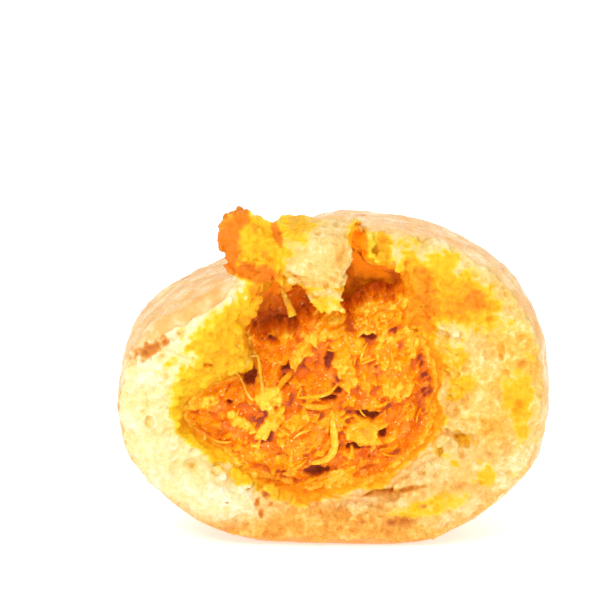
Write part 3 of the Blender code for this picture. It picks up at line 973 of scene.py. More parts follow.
def crust_share(points):
    """1 on the baked outside, 0 on the torn crumb and in the cavity."""
    _, y, z = in_mm(points)
    angle, reach = polar(points)
    inward = (outer_reach(angle, points[:, 1]) - reach) / MM
    outside = np.maximum(1.0 - smoothstep(1.0, 2.2, inward), 1.0 - smoothstep(0.4, 1.2, z))
    ragged = rough_at(points, (0.7, 2.4, 0.0), (0.4, 0.9, 0.0))
    behind = smoothstep(-0.35, 0.35, y - rim_y(angle) / MM + ragged)
    covered = np.maximum(outside * behind, baked_band(points, 1.4, 0.4))
    strips = [width * lobe(angle, centre, spread) for centre, spread, width in (SHOULDER_CRUST, RIM_CRUST)]
    width = np.maximum(*strips) / MM
    from_edge = (outer_reach(angle, WIDEST_Y - 0.1 * MM) - reach) / MM
    strip = smoothstep(width + 0.4, width - 0.4, from_edge + ragged) * smoothstep(0.5, 0.9, width)
    return np.maximum(np.maximum(covered, strip), smoothstep(4.0, 6.0, y))


def picked(draw, allowed, count):
    """This many vertices, drawn from those that are allowed."""
    places = np.flatnonzero(allowed)
    return [int(places[draw.randrange(len(places))]) for _ in range(count)]


def pressed_in(points, chosen, sizes, depths):
    """How deep round pits with these half sizes, in mm, round the chosen points go at each point."""
    finder = KDTree(len(chosen))
    for i, centre in enumerate(points[chosen]):
        finder.insert(centre, i)
    finder.balance()
    widest = max(sizes) * MM
    depth = np.zeros(len(points))
    for i, point in enumerate(points):
        for _, k, distance in finder.find_range(point, widest):
            share = distance / (sizes[k] * MM)
            if share < 1.0:
                depth[i] = max(depth[i], depths[k] * (1.0 - share**2) ** 1.5)
    return depth


def dough_relief(points, crust):
    """How far the crumb and the crust rise above the bare shape, in mm."""
    y = points[:, 1] / MM
    lumps = 0.55 * fractal_at(points, 3.8 * MM)
    patchy = smoothstep(-0.3, 0.4, noise_at(points, 5.0 * MM, 14.0))
    pores = 0.30 * (cells_at(points, 2.3 * MM) - 0.45) * patchy
    pores = pores + 0.26 * (cells_at(points, 0.95 * MM, 3.0) - 0.45)
    folds = 0.30 * (1.0 - 2.4 * np.abs(noise_at(points, 1.5 * MM, 2.0)))
    grain = 0.20 * fractal_at(points, 0.8 * MM, 3, 4.0)
    calm = 1.0 - 0.55 * patches_at(points, CALM_PLACES) * smoothstep(-17.0, -19.0, y)
    baked = 0.30 * fractal_at(points, 5.0 * MM, 3, 6.0) + 0.10 * fractal_at(points, 1.1 * MM, 2, 8.0)
    return (1.0 - crust) * (calm * (lumps + pores + folds) + grain) + crust * baked


def make_dough(ground, rim):
    """The torn bun as one dense mesh over its solid."""
    draw = random.Random(SEED)
    rough = remeshed("rough_dough", [ground.dough], ROUGH_VOXEL, 10)
    pieces = [(points_of(rough), triangles_of(rough))]
    bpy.data.objects.remove(rough)
    for edge in TORN_EDGES:
        pieces += scattered_along(draw, ground, *edge)
    pieces += scrap_tatters(draw)
    dough = remeshed("torn_dough", pieces, DOUGH_VOXEL, 2)
    without_hidden_bubbles(dough)
    points = points_of(dough)
    normals = normals_of(dough)
    x, y, z = in_mm(points)
    crust = crust_share(points)
    torn = 1.0 - crust
    rise = dough_relief(points, crust)

    chosen = picked(draw, (torn > 0.6) & (y < -11.0), CRUMB_PITS)
    sizes = [draw.choice((0.5, 0.6, 0.8, 1.1, 1.6)) * draw.uniform(0.8, 1.1) for _ in chosen]
    rise -= pressed_in(points, chosen, sizes, [size * draw.uniform(0.2, 0.5) for size in sizes])
    chosen = picked(draw, crust > 0.9, CRUST_DENTS)
    sizes = [draw.uniform(0.5, 1.4) for _ in chosen]
    rise -= pressed_in(points, chosen, sizes, [size * draw.uniform(0.10, 0.25) for size in sizes])
    moved = points + normals * (rise * smoothstep(0.2, 1.5, z) * MM)[:, None]

    face = smoothstep(0.3, -0.5, normals[:, 1]) * smoothstep(-10.0, -13.0, y)
    on_scrap = (z > 44.0) & (y < -18.0)
    face = face * np.where(on_scrap, smoothstep(-0.3, 0.5, x - scrap_edge(z)), 1.0)
    ragged = 0.22 * noise_at(points, 0.9 * MM, 16.0)
    for *place, depth in HOLES:
        hole = patch_at(points, *place)
        moved[:, 1] += face * depth * MM * smoothstep(0.25, 0.75, hole + ragged * (hole > 0.1))
        rise -= 0.6 * face * depth * smoothstep(0.1, 0.7, hole)
    roof = smoothstep(-15.5, -17.5, y) * smoothstep(51.0, 56.0, z)
    for middle, half, depth in SCRAP_DIPS:
        moved[:, 2] -= depth * MM * roof * smoothstep(half + 1.4, half - 1.0, np.abs(x - middle))
    move_points(dough, moved)
    # The crumb's relief, which the material uses for painted shade in its hollows and for sauce pooling there
    write_masks(dough, {"relief": 0.5 + (rise - np.median(rise[torn > 0.5])) / 1.7})
    write_dough_masks(dough, rim)
    return dress(dough, dough_material())


def write_dough_masks(dough, rim):
    """Where the dough is crust, stained, sauce-coated, toasted or scorched, and how open it lies, for the
    shade painted into its crevices.
    """
    points = points_of(dough)
    normals = normals_of(dough)
    x, y, z = in_mm(points)
    angle, reach = polar(points)
    facing = smoothstep(0.6, 0.1, normals[:, 1])

    above = 44.6 + 0.35 * np.maximum(0.0, -x - 12.0)
    scrap = smoothstep(-16.2, -17.6, y) * smoothstep(0.75, 0.2, normals[:, 1])
    scrap = scrap * smoothstep(above - 0.6, above + 0.6, z) * smoothstep(0.5, -0.5, x - scrap_edge(z))
    flake = patch_at(points, *FLAKE) * smoothstep(-18.5, -19.5, y)
    scrap = np.maximum(scrap, smoothstep(0.3, 0.5, flake))
    cleft = smoothstep(0.30, 0.70, patch_at(points, *CLEFT) + 0.2 * noise_at(points, 1.2 * MM, 25.0))
    cleft = cleft * smoothstep(-14.4, -15.6, y)
    crust = crust_share(points) * (1.0 - smoothstep(0.3, 0.6, np.maximum(scrap, cleft)))

    past_mouth = (reach - rim.edge(angle)) / MM
    ragged = rough_at(points, (1.4, 3.4, 3.0), (0.5, 0.9, 4.0))
    left = smoothstep(6.0, -8.0, x)
    ring = 0.46 * smoothstep(2.0 + 1.4 * left, 0.2 + 1.0 * left, past_mouth + ragged)
    ring = ring + 0.3 * smoothstep(1.2, -0.4, past_mouth + 0.6 * ragged)
    ring = ring * smoothstep(-9.0, -11.0, y)
    flecks = 0.30 * smoothstep(0.35, 0.6, noise_at(points, 2.2 * MM, 18.0)) * smoothstep(14.0, 18.0, x)
    stain = np.maximum(np.maximum(stains_at(points, STAINS) * facing, ring), flecks)
    stain = stain * (1.0 - scrap) + stains_at(points, SCRAP_STAINS) * scrap

    # The walls of the cavity, where the material paints orange that darkens further in, partly as shade, and a
    # painted glow
    shallow = smoothstep(5.0, 3.0, y)
    wall = smoothstep(-14.6, -12.0, y) * smoothstep(0.8, -0.6, past_mouth) * shallow
    outward = normals[:, 0] * np.cos(np.radians(angle)) + normals[:, 2] * np.sin(np.radians(angle))
    flank = smoothstep(-0.35, -0.8, outward) * smoothstep(3.0, 1.5, past_mouth)
    flank = flank * (1.0 - 0.5 * smoothstep(-6.0, -10.0, x))
    wall = np.maximum(wall, 0.34 * flank * shallow)
    wall = np.maximum(wall, 0.52 * cleft * (1.0 - scrap))

    warm = patches_at(points, WARM_PLACES) * (0.85 + 0.40 * noise_at(points, 6.0 * MM, 21.0))
    baked = patches_at(points, BAKED_PLACES) * (0.8 + 0.6 * noise_at(points, 1.6 * MM, 22.0))
    baked = np.maximum(baked_band(points, 7.4, 2.2), baked * facing)

    draw = random.Random(SEED + 3)
    chosen = picked(draw, crust > 0.9, CRUST_SPOTS)
    sizes = [draw.uniform(1.0, 2.4) for _ in chosen]
    spots = pressed_in(points, chosen, sizes, [draw.uniform(0.4, 1.1) for _ in chosen])
    broad = 0.55 * smoothstep(-0.2, 0.8, fractal_at(points, 6.0 * MM, 3, 6.0))
    toast = np.maximum(spots + broad, 0.85 * smoothstep(11.0, 1.0, z))
    specks = 0.5 * smoothstep(0.45, 0.62, noise_at(points, 0.8 * MM, 9.0)) * smoothstep(9.0, 3.0, z)
    scorch = patches_at(points, SCORCHES) * facing
    scorch = scorch + 0.35 * noise_at(points, 0.9 * MM, 7.0) * (scorch > 0.1)
    write_masks(
        dough,
        {
            "crust": crust,
            "stain": stain,
            "wall": wall,
            "warm": warm,
            "baked": baked,
            "toast": toast,
            "scorch": np.maximum(scorch, specks),
            # How open the dough lies, which the material turns into painted shade in its crevices and pits
            "open": openness(dough, 3.0 * MM, 9),
        },
    )


# The filling

# Masses of torn meat, in mm: x, z, heading in degrees, length, width, tone from deep orange 0 to pale 1, how
# far they are lifted, and how high they are domed
MASSES = (
    (-4.6, 33.2, 50.0, 8.8, 3.2, 0.74, 1.3, 0.8),
    (-0.5, 36.6, 20.0, 6.0, 4.6, 0.64, 1.2, 1.2),
    (1.5, 30.8, -74.0, 8.6, 3.4, 0.62, 1.5, 0.9),
    (3.2, 34.2, -50.0, 5.0, 3.4, 0.66, 0.9, 0.9),
    (7.0, 38.4, 20.0, 8.6, 7.4, 0.54, 0.7, 1.9),
    (9.6, 30.6, 100.0, 12.0, 6.6, 0.54, 0.9, 1.2),
    (12.4, 33.4, 80.0, 6.0, 3.4, 0.74, 1.1, 0.8),
    (5.4, 30.4, 85.0, 8.4, 4.6, 0.46, 0.4, 1.0),
    (-10.8, 25.4, 20.0, 5.0, 4.2, 1.02, 1.4, 1.2),
    (-10.8, 20.9, 53.0, 9.6, 2.9, 0.84, 1.4, 0.8),
    (-15.6, 21.2, -38.0, 6.4, 2.2, 0.76, 0.9, 0.6),
    (-8.8, 34.2, 15.0, 6.2, 4.0, 0.44, 0.3, 1.4),
    (-10.6, 29.8, 60.0, 6.4, 5.0, 0.36, 0.4, 1.6),
    (-2.2, 28.4, 30.0, 7.4, 4.4, 0.34, 0.2, 1.0),
    (-5.8, 19.6, 40.0, 8.6, 7.4, 0.46, 0.9, 1.8),
    (4.8, 19.8, -24.0, 7.0, 5.4, 0.60, 1.4, 1.0),
    (0.1, 21.6, 20.0, 5.2, 3.6, 0.62, 1.2, 0.8),
    (1.9, 15.8, -10.0, 3.6, 1.8, 0.44, 0.7, 0.6),
    (6.4, 13.8, 10.0, 12.0, 5.0, 0.22, 0.3, 1.1),
    (8.4, 15.9, 20.0, 3.6, 2.4, 0.50, 0.8, 0.7),
    (11.2, 20.4, 65.0, 10.0, 6.6, 0.20, 0.2, 1.1),
    (14.6, 19.4, 60.0, 9.0, 3.2, 0.44, 0.2, 0.9),
    (0.4, 11.4, 5.0, 6.0, 2.8, 0.90, 0.6, 0.9),
    (-7.6, 14.9, 38.0, 7.4, 4.0, 0.52, 0.5, 1.0),
    (-22.1, 25.0, 20.0, 6.4, 5.0, 0.60, 0.5, 1.2),
    (-21.0, 20.6, -40.0, 5.6, 4.0, 0.42, 0.3, 1.0),
    (-15.4, 18.4, 60.0, 4.8, 3.8, 0.26, 0.3, 1.2),
    (-13.2, 15.6, -28.0, 8.6, 3.6, 0.46, 0.3, 1.0),
    (-17.6, 27.2, 30.0, 5.0, 3.2, 0.48, 0.3, 0.9),
    (-3.4, 39.6, 10.0, 6.0, 3.0, 0.30, -0.4, 0.8),
)

# Places where small round bits of meat lie close together, in mm: x, z, half x, half z, count, tone
GRANULES = (
    (7.2, 37.6, 3.4, 3.0, 26, 0.72),
    (-5.8, 19.6, 3.6, 3.2, 34, 0.52),
    (9.6, 30.6, 3.0, 5.0, 22, 0.74),
    (-10.8, 25.2, 2.0, 1.8, 9, 1.05),
    (-22.0, 25.0, 2.6, 2.0, 12, 0.74),
)

# Single shreds, in mm: stops (x, z) along each, how proud it lies, its half width, its tone
SHREDS = (
    (((-0.4, 22.4), (-0.1, 19.4), (-0.1, 17.3), (-1.2, 15.4), (-3.9, 14.4)), 0.9, 0.66, 0.88),
    (((-6.4, 25.4), (-3.9, 26.0), (-1.4, 26.4), (0.6, 27.5)), 0.9, 0.36, 0.74),
    (((-5.6, 24.6), (-3.0, 24.3), (-0.4, 24.4)), 0.6, 0.50, 0.62),
    (((5.6, 24.5), (7.7, 24.4), (8.8, 24.9)), 0.8, 0.30, 0.70),
    (((6.6, 20.4), (8.0, 21.0), (8.9, 21.4)), 1.0, 0.30, 0.74),
    (((-8.2, 12.9), (-6.3, 14.0), (-4.6, 15.2)), 0.7, 0.40, 0.66),
    (((-9.6, 26.8), (-8.4, 28.2), (-7.1, 29.2)), 0.7, 0.50, 0.62),
    (((12.6, 34.8), (14.0, 35.6), (15.4, 35.0), (16.0, 33.6)), 0.7, 0.32, 0.70),
)

# Hollows between the masses, in mm: x, z, half x, half z, tilt in degrees, depth
HEAP_HOLLOWS = (
    (-11.0, 34.4, 1.9, 0.5, -10.0, 1.8),
    (-7.9, 36.4, 3.0, 0.7, 0.0, 1.6),
    (-14.1, 28.9, 1.6, 1.3, -25.0, 2.6),
    (-8.2, 29.2, 0.8, 1.8, -10.0, 1.7),
    (-0.9, 31.4, 0.8, 1.9, 0.0, 1.1),
    (-1.1, 25.5, 1.8, 0.5, 0.0, 2.2),
    (0.3, 26.5, 0.8, 0.6, 0.0, 1.5),
    (5.8, 22.6, 2.6, 0.7, -8.0, 2.1),
    (7.9, 19.6, 0.8, 0.9, 0.0, 2.0),
    (3.3, 17.2, 2.7, 0.6, 0.0, 1.7),
    (-3.0, 12.8, 2.3, 1.4, 0.0, 2.8),
    (14.5, 31.0, 1.0, 1.6, 11.0, 1.2),
    (15.0, 27.6, 1.1, 3.6, 11.0, 0.9),
    (-17.3, 25.3, 0.7, 1.4, 0.0, 1.5),
    (5.8, 35.2, 1.5, 0.5, 0.0, 1.1),
    (4.4, 28.6, 0.5, 0.5, 0.0, 1.0),
)

# The line above which the heap falls back into the cavity, where it is painted in shade, in mm: x, z
HEAP_TOP = (
    (-18.0, 38.0), (-13.0, 35.2), (-9.5, 34.8), (-6.6, 35.2), (-5.4, 37.2), (-2.0, 38.9), (1.4, 39.2),
    (2.2, 38.4), (3.6, 39.9), (6.0, 41.0), (8.0, 41.3), (9.8, 41.0), (11.0, 43.0), (12.0, 46.0),
)

# How far the bare heap lies behind its solid's face, so that the masses on it can stand out
HEAP_RECESS = 1.2 * MM

# How deep a narrow crack in the heap goes below what lies round it, in mm
CRACK_DEPTH = 0.32

# The coarse grid over the filling: its lowest corner, its step, and how many places it has along X and Z
FACES_LOW = np.array((-32.0, 3.0)) * MM
FACES_STEP = 1.0 * MM
FACES_COUNT = (54, 45)


def read_faces(ground):
    """The filling's front and back on the coarse grid, smoothed and spread past its edge, and where it is."""
    front = np.full(FACES_COUNT, np.nan)
    back = front.copy()
    for place in np.ndindex(FACES_COUNT):
        x, z = FACES_LOW + np.array(place) * FACES_STEP
        near = ground.front(ground.filling_tree, x, z)
        far = ground.filling_tree.ray_cast(Vector((x, 0.1, z)), Vector((0.0, -1.0, 0.0)))[0]
        if near is not None and far is not None:
            front[place] = near
            back[place] = far.y
    return spread_out(front), spread_out(back), np.where(np.isnan(front), 0.0, 1.0)


def spread_out(field):
    """The field slightly smoothed, with its empty places filled from their neighbours."""
    for turn in range(40):
        padded = np.pad(field, 1, constant_values=np.nan)
        sides = np.stack([padded[:-2, 1:-1], padded[2:, 1:-1], padded[1:-1, :-2], padded[1:-1, 2:]])
        known = ~np.isnan(sides)
        mean = np.where(known, sides, 0.0).sum(0) / np.maximum(known.sum(0), 1)
        mean = np.where(known.any(0), mean, np.nan)
        if turn < 3:
            field = np.where(np.isnan(field), mean, np.where(np.isnan(mean), field, 0.5 * (field + mean)))
        else:
            field = np.where(np.isnan(field), mean, field)
    return field


def sampled(field, low, step, x, z):
    """The field's value at these places, blended between its grid points."""
    u = np.clip((x - low[0]) / step, 0.0, field.shape[0] - 1.001)
    v = np.clip((z - low[1]) / step, 0.0, field.shape[1] - 1.001)
    i = u.astype(int)
    k = v.astype(int)
    a = u - i
    b = v - k
    lower = field[i, k] * (1 - a) + field[i + 1, k] * a
    upper = field[i, k + 1] * (1 - a) + field[i + 1, k + 1] * a
    return lower * (1 - b) + upper * b


def softened(field, radius):
    """The field blurred over this many grid steps."""
    weights = np.exp(-np.linspace(-2.0, 2.0, 4 * radius + 1) ** 2)
    weights /= weights.sum()
    reach = 2 * radius
    for axis in (0, 1):
        padded = np.pad(field, [(reach, reach) if a == axis else (0, 0) for a in (0, 1)], mode="edge")
        field = np.apply_along_axis(np.convolve, axis, padded, weights, "valid")
    return field


class Heap:
    """The heap's front as heights over a grid, in mm before its bare face, and the tone of what is on top."""

    LOW = np.array((-29.5, 5.0)) * MM
    HIGH = np.array((17.5, 46.0)) * MM

    def __init__(self, ground, rim):
        self.step = HEAP_STEP
        counts = ((self.HIGH - self.LOW) / self.step).astype(int)
        axes = [low + np.arange(count) * self.step for low, count in zip(self.LOW, counts)]
        self.x, self.z = np.meshgrid(*axes, indexing="ij")
        self.flat = np.stack([self.x, np.zeros(self.x.shape), self.z], axis=2).reshape(-1, 3)
        front, back, present = read_faces(ground)
        self.face = sampled(front, FACES_LOW, FACES_STEP, self.x, self.z) + HEAP_RECESS
        self.back = sampled(back, FACES_LOW, FACES_STEP, self.x, self.z)
        angle, reach = polar(self.flat)
        self.rim_front = self.on_grid(rim.front(angle))
        self.inward = self.on_grid(rim.edge(angle) - reach) / MM
        turn = (self.on_grid(angle) - 90.0 + self.rough((5.0, 2.2, 22.0))) % 360.0
        self.sides = smoothstep(34.0, 48.0, turn) * smoothstep(326.0, 312.0, turn)
        self.top = np.interp(self.x / MM, *np.transpose(HEAP_TOP))
        shift = MM * self.rough((0.8, 1.6, 21.0))
        self.present = sampled(present, FACES_LOW, FACES_STEP, self.x + shift, self.z - shift) > 0.15
        self.present |= (self.inward > -2.2) & (self.sides > 0.3)
        self.present |= (self.z / MM < self.top + 1.6) & (self.inward > -1.0)
        self.ragged = self.rough((0.50, 1.7, 1.0), (0.55, 0.75, 2.0))
        self.lumps = self.rough((0.45, 1.8, 9.0), (0.25, 0.9, 10.0))
        self.height = self.rough((0.5, 3.0, 3.0), (0.3, 1.2, 4.0))
        self.tone = 0.28 + self.rough((0.2, 4.0, 5.0))
        self.sunk = np.zeros(self.x.shape)

    def on_grid(self, values):
        """Values for the grid's points, in a row, laid out like the grid."""
        return values.reshape(self.x.shape)

    def rough(self, *layers):
        """Noise in layers over the grid."""
        return self.on_grid(rough_at(self.flat, *layers))

    def blurred(self, field, radius):
        """The field blurred over this radius in mm."""
        return softened(field, max(2, round(radius * MM / self.step)))

    def lay(self, x, z, heading, length, width, tone, lift, dome, shift):
        """Lays one mass: a ragged flake with a dome and with fibres along its heading."""
        turn = math.radians(heading)
        right = self.x / MM - x
        high = self.z / MM - z
        near = np.hypot(right, high) < 0.8 * max(length, width)
        along = right[near] * math.cos(turn) + high[near] * math.sin(turn)
        over = high[near] * math.cos(turn) - right[near] * math.sin(turn)
        grained = np.stack([along * 0.45, np.full(along.shape, 3.7 * shift), over * 1.5], axis=1)
        fibres = noise_at(grained, 1.0)
        within = 1.0 - np.abs(2.0 * along / length) ** 2.4 - np.abs(2.0 * over / width) ** 2.4
        within = within + self.ragged[near] * 3.2 / max(width, 1.6) + 0.22 * fibres
        rise = 0.8 * lift + dome * np.clip(within, 0.0, 1.0) ** 0.6 + 0.28 * (1.0 - 2.4 * np.abs(fibres))
        rise = rise + self.lumps[near] - 2.2 * (1.0 - smoothstep(0.0, 0.35, within))
        top = rise > self.height[near]
        self.height[near] = np.where(top, rise, self.height[near])
        # The mass's tone, with painted shade towards its edge
        shade = tone + 0.22 * fibres - 0.10 * smoothstep(0.5, 0.0, within)
        self.tone[near] = np.where(top, shade, self.tone[near])

    def hollow_out(self, share):
        """Sinks the hollows between the masses into the heap, by this share of their depth."""
        ragged = rough_at(self.flat, (0.30, 1.3, 16.0), (0.15, 0.6, 17.0))
        total = np.zeros(len(self.flat))
        for *place, depth in HEAP_HOLLOWS:
            hollow = patch_at(self.flat, *place)
            total = np.maximum(total, depth * smoothstep(0.12, 0.90, hollow + 0.9 * ragged * (hollow > 0.05)))
        self.sunk += share * self.on_grid(total)
        self.height -= share * self.on_grid(total)

    def settle(self):
        """Adds fine relief, closes the heap against the dough's torn edge, works out how open it lies for the
        painted shade, and paints its tops paler, its lows deeper, and what falls back into the cavity in
        shade.
        """
        self.height += self.rough((0.16, 0.75, 7.0), (0.11, 0.38, 8.0))
        self.height += 0.22 * (0.45 - self.on_grid(cells_at(self.flat, 0.9 * MM)))
        around = self.blurred(self.height + self.sunk, 0.8)
        self.height += 0.90 * np.maximum(around - CRACK_DEPTH - self.sunk - self.height, 0.0)

        closing = smoothstep(4.6, 0.4, self.inward) * self.sides
        self.y = self.face * (1.0 - closing) + (self.rim_front + 0.7 * MM) * closing
        self.y -= self.height * MM * (1.0 - 0.25 * closing)
        self.y += 0.8 * MM * np.maximum(0.0, -self.inward - 0.4) * self.sides
        edge = smoothstep(1.6, 0.0, self.inward + 0.9 * self.ragged) * self.sides
        self.tone += (0.82 + 0.14 * self.ragged - self.tone) * edge

        over = self.z / MM - self.top - 1.5 * self.ragged
        above = smoothstep(-0.4, 1.8, over)
        self.y += 5.5 * MM * above
        # What falls back into the cavity gets a deep tone as painted shade
        self.tone += (0.2 - self.tone) * above
        self.calm = self.blurred(self.y - self.sunk * MM, 0.9)

        # How open the heap lies, from its heights, for the shade painted into its hollows
        low = (self.y - self.blurred(self.y, 1.5)) / MM
        wide = (self.y - self.blurred(self.y, 3.2)) / MM
        shaded = 0.9 * smoothstep(0.25, 1.3, low) + 0.3 * smoothstep(0.1, 1.0, wide)
        self.open = np.maximum(1.0 - shaded, above)
        # Where the painted cavity shade goes: strongest just above the heap's top line
        self.cavity_shade = above * (1.0 - 0.5 * smoothstep(0.4, 4.6, over))
        # Painted highlight and shade: paler where the heap stands proud, deeper where it lies low
        self.tone += 0.16 * smoothstep(0.1, -0.8, low) - 0.10 * smoothstep(0.1, 0.8, low)

    def at(self, x, z):
        """How far forward the heap stands at this place, without its fine relief."""
        return float(sampled(self.calm, self.LOW, self.step, np.array([x]), np.array([z]))[0])

    def surface(self):
        """The closed skin of the heap as arrays, and the grid places that its first points come from."""
        used = self.present
        number = np.full(used.shape, -1)
        number[used] = np.arange(used.sum())
        corners = [number[:-1, :-1], number[1:, :-1], number[1:, 1:], number[:-1, 1:]]
        whole = np.all([c >= 0 for c in corners], axis=0)
        a, b, c, d = (corner[whole] for corner in corners)
        front = np.concatenate([np.stack([a, b, c], 1), np.stack([a, c, d], 1)])
        edges = np.concatenate([front[:, [0, 1]], front[:, [1, 2]], front[:, [2, 0]]])
        keys = np.sort(edges, axis=1) @ np.array((used.size, 1))
        _, first, count = np.unique(keys, return_index=True, return_counts=True)
        border = edges[first[count == 1]]
        total = int(used.sum())
        walls = [
            np.stack([border[:, 1], border[:, 0], border[:, 0] + total], 1),
            np.stack([border[:, 1], border[:, 0] + total, border[:, 1] + total], 1),
        ]
        behind = front[:, ::-1] + total
        near = np.stack([self.x[used], self.y[used], self.z[used]], 1)
        far = near.copy()
        far[:, 1] = np.maximum(self.back[used], near[:, 1] + 0.6 * MM)
        return np.concatenate([near, far]), np.concatenate([front, behind, *walls]), used


def laid_shred(heap, stops, proud, half_width, seed):
    """A flattened shred along these stops over the heap, in mm, with its ends sunk in."""
    steps = 30
    along = np.linspace(-1.0, 1.0, steps)
    path = smooth_path([(x, 0.0, z) for x, z in stops], steps) * MM
    for i, t in enumerate(along):
        path[i, 1] = heap.at(path[i, 0], path[i, 2]) - proud * MM * (1.0 - abs(t) ** 3)
    uneven = 1.0 + 0.35 * noise_at(path + seed * MM, 1.3 * MM)
    radii = half_width * MM * uneven * (1.0 - 0.7 * np.abs(along) ** 4)
    return tube(path, radii, 10, 0.6)


def fibre_heading(x, z):
    """Which way the meat's fibres run at this place in mm, as a heading in degrees."""
    return 60.0 + 75.0 * noise.noise(Vector((x, 0.0, z)) / 6.0)


def lay_flakes(draw, heap):
    """Lays the small flakes of meat that the larger masses lie on, and then the masses."""
    for shift in range(FLAKES):
        x = draw.uniform(-28.0, 17.0)
        z = draw.uniform(7.0, 44.0)
        length = draw.uniform(1.6, 4.4)
        tone = 0.36 + 0.4 * noise.noise(Vector((x, 0.1, z)) / 5.0) + draw.gauss(0.0, 0.08)
        heading = fibre_heading(x, z) + draw.uniform(-50.0, 50.0)
        width = length * draw.uniform(0.4, 0.8)
        heap.lay(x, z, heading, length, width, tone, draw.uniform(-0.1, 0.6), draw.uniform(0.3, 0.8), shift)
    for shift, mass in enumerate(MASSES):
        heap.lay(*mass, 500 + shift)


def lay_bits(draw, heap):
    """Lays small bits of meat over the masses, each as high and as light as what it lies on."""
    bits = []
    for _ in range(BITS):
        spot = (draw.uniform(-27.0, 16.0), draw.uniform(8.0, 43.0))
        length = draw.uniform(1.2, 3.2)
        bits.append((*spot, length, length * draw.uniform(0.3, 0.7), None))
    for x, z, half_x, half_z, count, tone in GRANULES:
        for _ in range(count):
            spot = (x + draw.uniform(-1.0, 1.0) * half_x, z + draw.uniform(-1.0, 1.0) * half_z)
            size = draw.uniform(0.7, 1.5)
            bits.append((*spot, 1.25 * size, size, tone))
    for x, z, length, width, tone in bits:
        place = tuple(((np.array((x, z)) * MM - heap.LOW) / heap.step).astype(int))
        lift = float(heap.height[place]) + draw.uniform(-0.3, 0.05)
        shade = (float(heap.tone[place]) if tone is None else tone) + draw.gauss(0.0, 0.12)
        heading = fibre_heading(x, z) + draw.uniform(-40.0, 40.0)
        heap.lay(x, z, heading, length, width, shade, lift / 0.8, 0.35 * width, draw.random() * 900)


def make_filling(heap):
    """The heap of shredded chicken as one dense mesh over its solid, with its larger shreds."""
    draw = random.Random(SEED + 1)
    lay_flakes(draw, heap)
    heap.hollow_out(0.7)
    lay_bits(draw, heap)
    heap.hollow_out(0.5)
    heap.settle()
    points, triangles, used = heap.surface()
    pieces = [(points, triangles)]
    front = np.stack([heap.tone[used], heap.open[used], heap.cavity_shade[used]], 1)
    # Behind the front, the heap is given the painted cavity shade
    masks = [front, np.tile((0.3, 1.0, 1.0), (len(points) - len(front), 1))]
    for seed, (stops, proud, half_width, tone) in enumerate(SHREDS):
        pieces.append(laid_shred(heap, stops, proud, half_width, seed))
        masks.append(np.tile((tone, 0.95, 0.0), (len(pieces[-1][0]), 1)))
    filling = mesh_object("chicken_heap", *joined(pieces))
    write_masks(filling, dict(zip(("tone", "open", "cavity_shade"), np.concatenate(masks).T)))
    return dress(filling, filling_material())


def make_loose_shreds(ground, heap):
    """Fine fibres of chicken that lie on the heap."""
    draw = random.Random(SEED + 2)
    along = np.linspace(-1.0, 1.0, 12)
    pieces = []
    tones = []
    for _ in range(LOOSE_SHREDS):
        x = draw.uniform(-25.0, 17.0) * MM
        z = draw.uniform(9.0, 40.0) * MM
        turn = draw.uniform(0.0, math.pi)
        half = draw.uniform(1.4, 3.6) * MM / 2
        curl = draw.uniform(-0.5, 0.5)
        if not ground.shows_filling(x, z) or not ground.shows_filling(x, z + 2.0 * MM):
            continue
        path = []
        for t in along:
            bent = turn + 0.6 * curl * t
            across = x + t * half * math.cos(bent)
            up = z + t * half * math.sin(bent)
            path.append((across, heap.at(across, up) - 0.5 * MM * (1.0 - 0.9 * abs(t) ** 3), up))
        radii = draw.uniform(0.14, 0.26) * MM * (1.0 - 0.6 * np.abs(along) ** 3)
        pieces.append(tube(path, radii, 6))
        tones.append(np.full(len(pieces[-1][0]), draw.uniform(0.5, 0.9)))
    loose = mesh_object("loose_shreds", *joined(pieces))
    write_masks(loose, {"tone": np.concatenate(tones), "open": 1.0})
    return dress(loose, bpy.data.materials["chicken_in_sauce"])


# Threads of dough drawn out between the bun and its filling, in mm: stops (x, z), how far they stand
# forward, and their radii at both ends
THREADS = (
    (((-15.9, 34.7), (-14.5, 34.1), (-13.9, 33.0), (-14.3, 31.9), (-14.9, 31.4)), 0.9, 0.34, 0.34),
    (((-17.4, 30.0), (-16.0, 30.7), (-14.6, 31.4), (-13.8, 32.3)), 0.9, 0.75, 0.32),
    (((-13.9, 32.2), (-12.8, 32.0), (-12.5, 31.1), (-12.2, 29.0), (-11.8, 27.0)), 2.0, 0.20, 0.30),
    (((-16.2, 30.2), (-15.4, 28.2), (-14.2, 26.2), (-13.4, 25.4)), 2.0, 0.16, 0.20),
    (((-8.8, 43.6), (-8.2, 41.6), (-7.4, 39.8), (-6.9, 38.4)), 2.0, 0.34, 0.70),
)

# The threads' masks, the same all over. The ones that aren't named are 0
THREAD_MASKS = {"stain": 0.30, "wall": 0.16, "relief": 0.6, "warm": 1.0, "open": 1.0}


def make_threads(ground):
    """The thin strings of dough that were drawn out when the bun was torn."""
    steps = 26
    pieces = []
    for stops, forward, first, last in THREADS:
        path = []
        for x, z in stops:
            fronts = [ground.front(tree, x * MM, z * MM) for tree in (ground.dough_tree, ground.filling_tree)]
            y = min([front for front in fronts if front is not None and front < -10.0 * MM] or [-15.0 * MM])
            path.append((x * MM, y - forward * MM, z * MM))
        path = smooth_path(path, steps)
        radii = np.linspace(first, last, steps) * MM * (1.0 + 0.22 * noise_at(path, 0.8 * MM))
        pieces.append(tube(path, radii, 10))
    threads = mesh_object("dough_threads", *joined(pieces))
    write_masks(threads, THREAD_MASKS)
    return dress(threads, bpy.data.materials["cheese_dough"])


# The setting

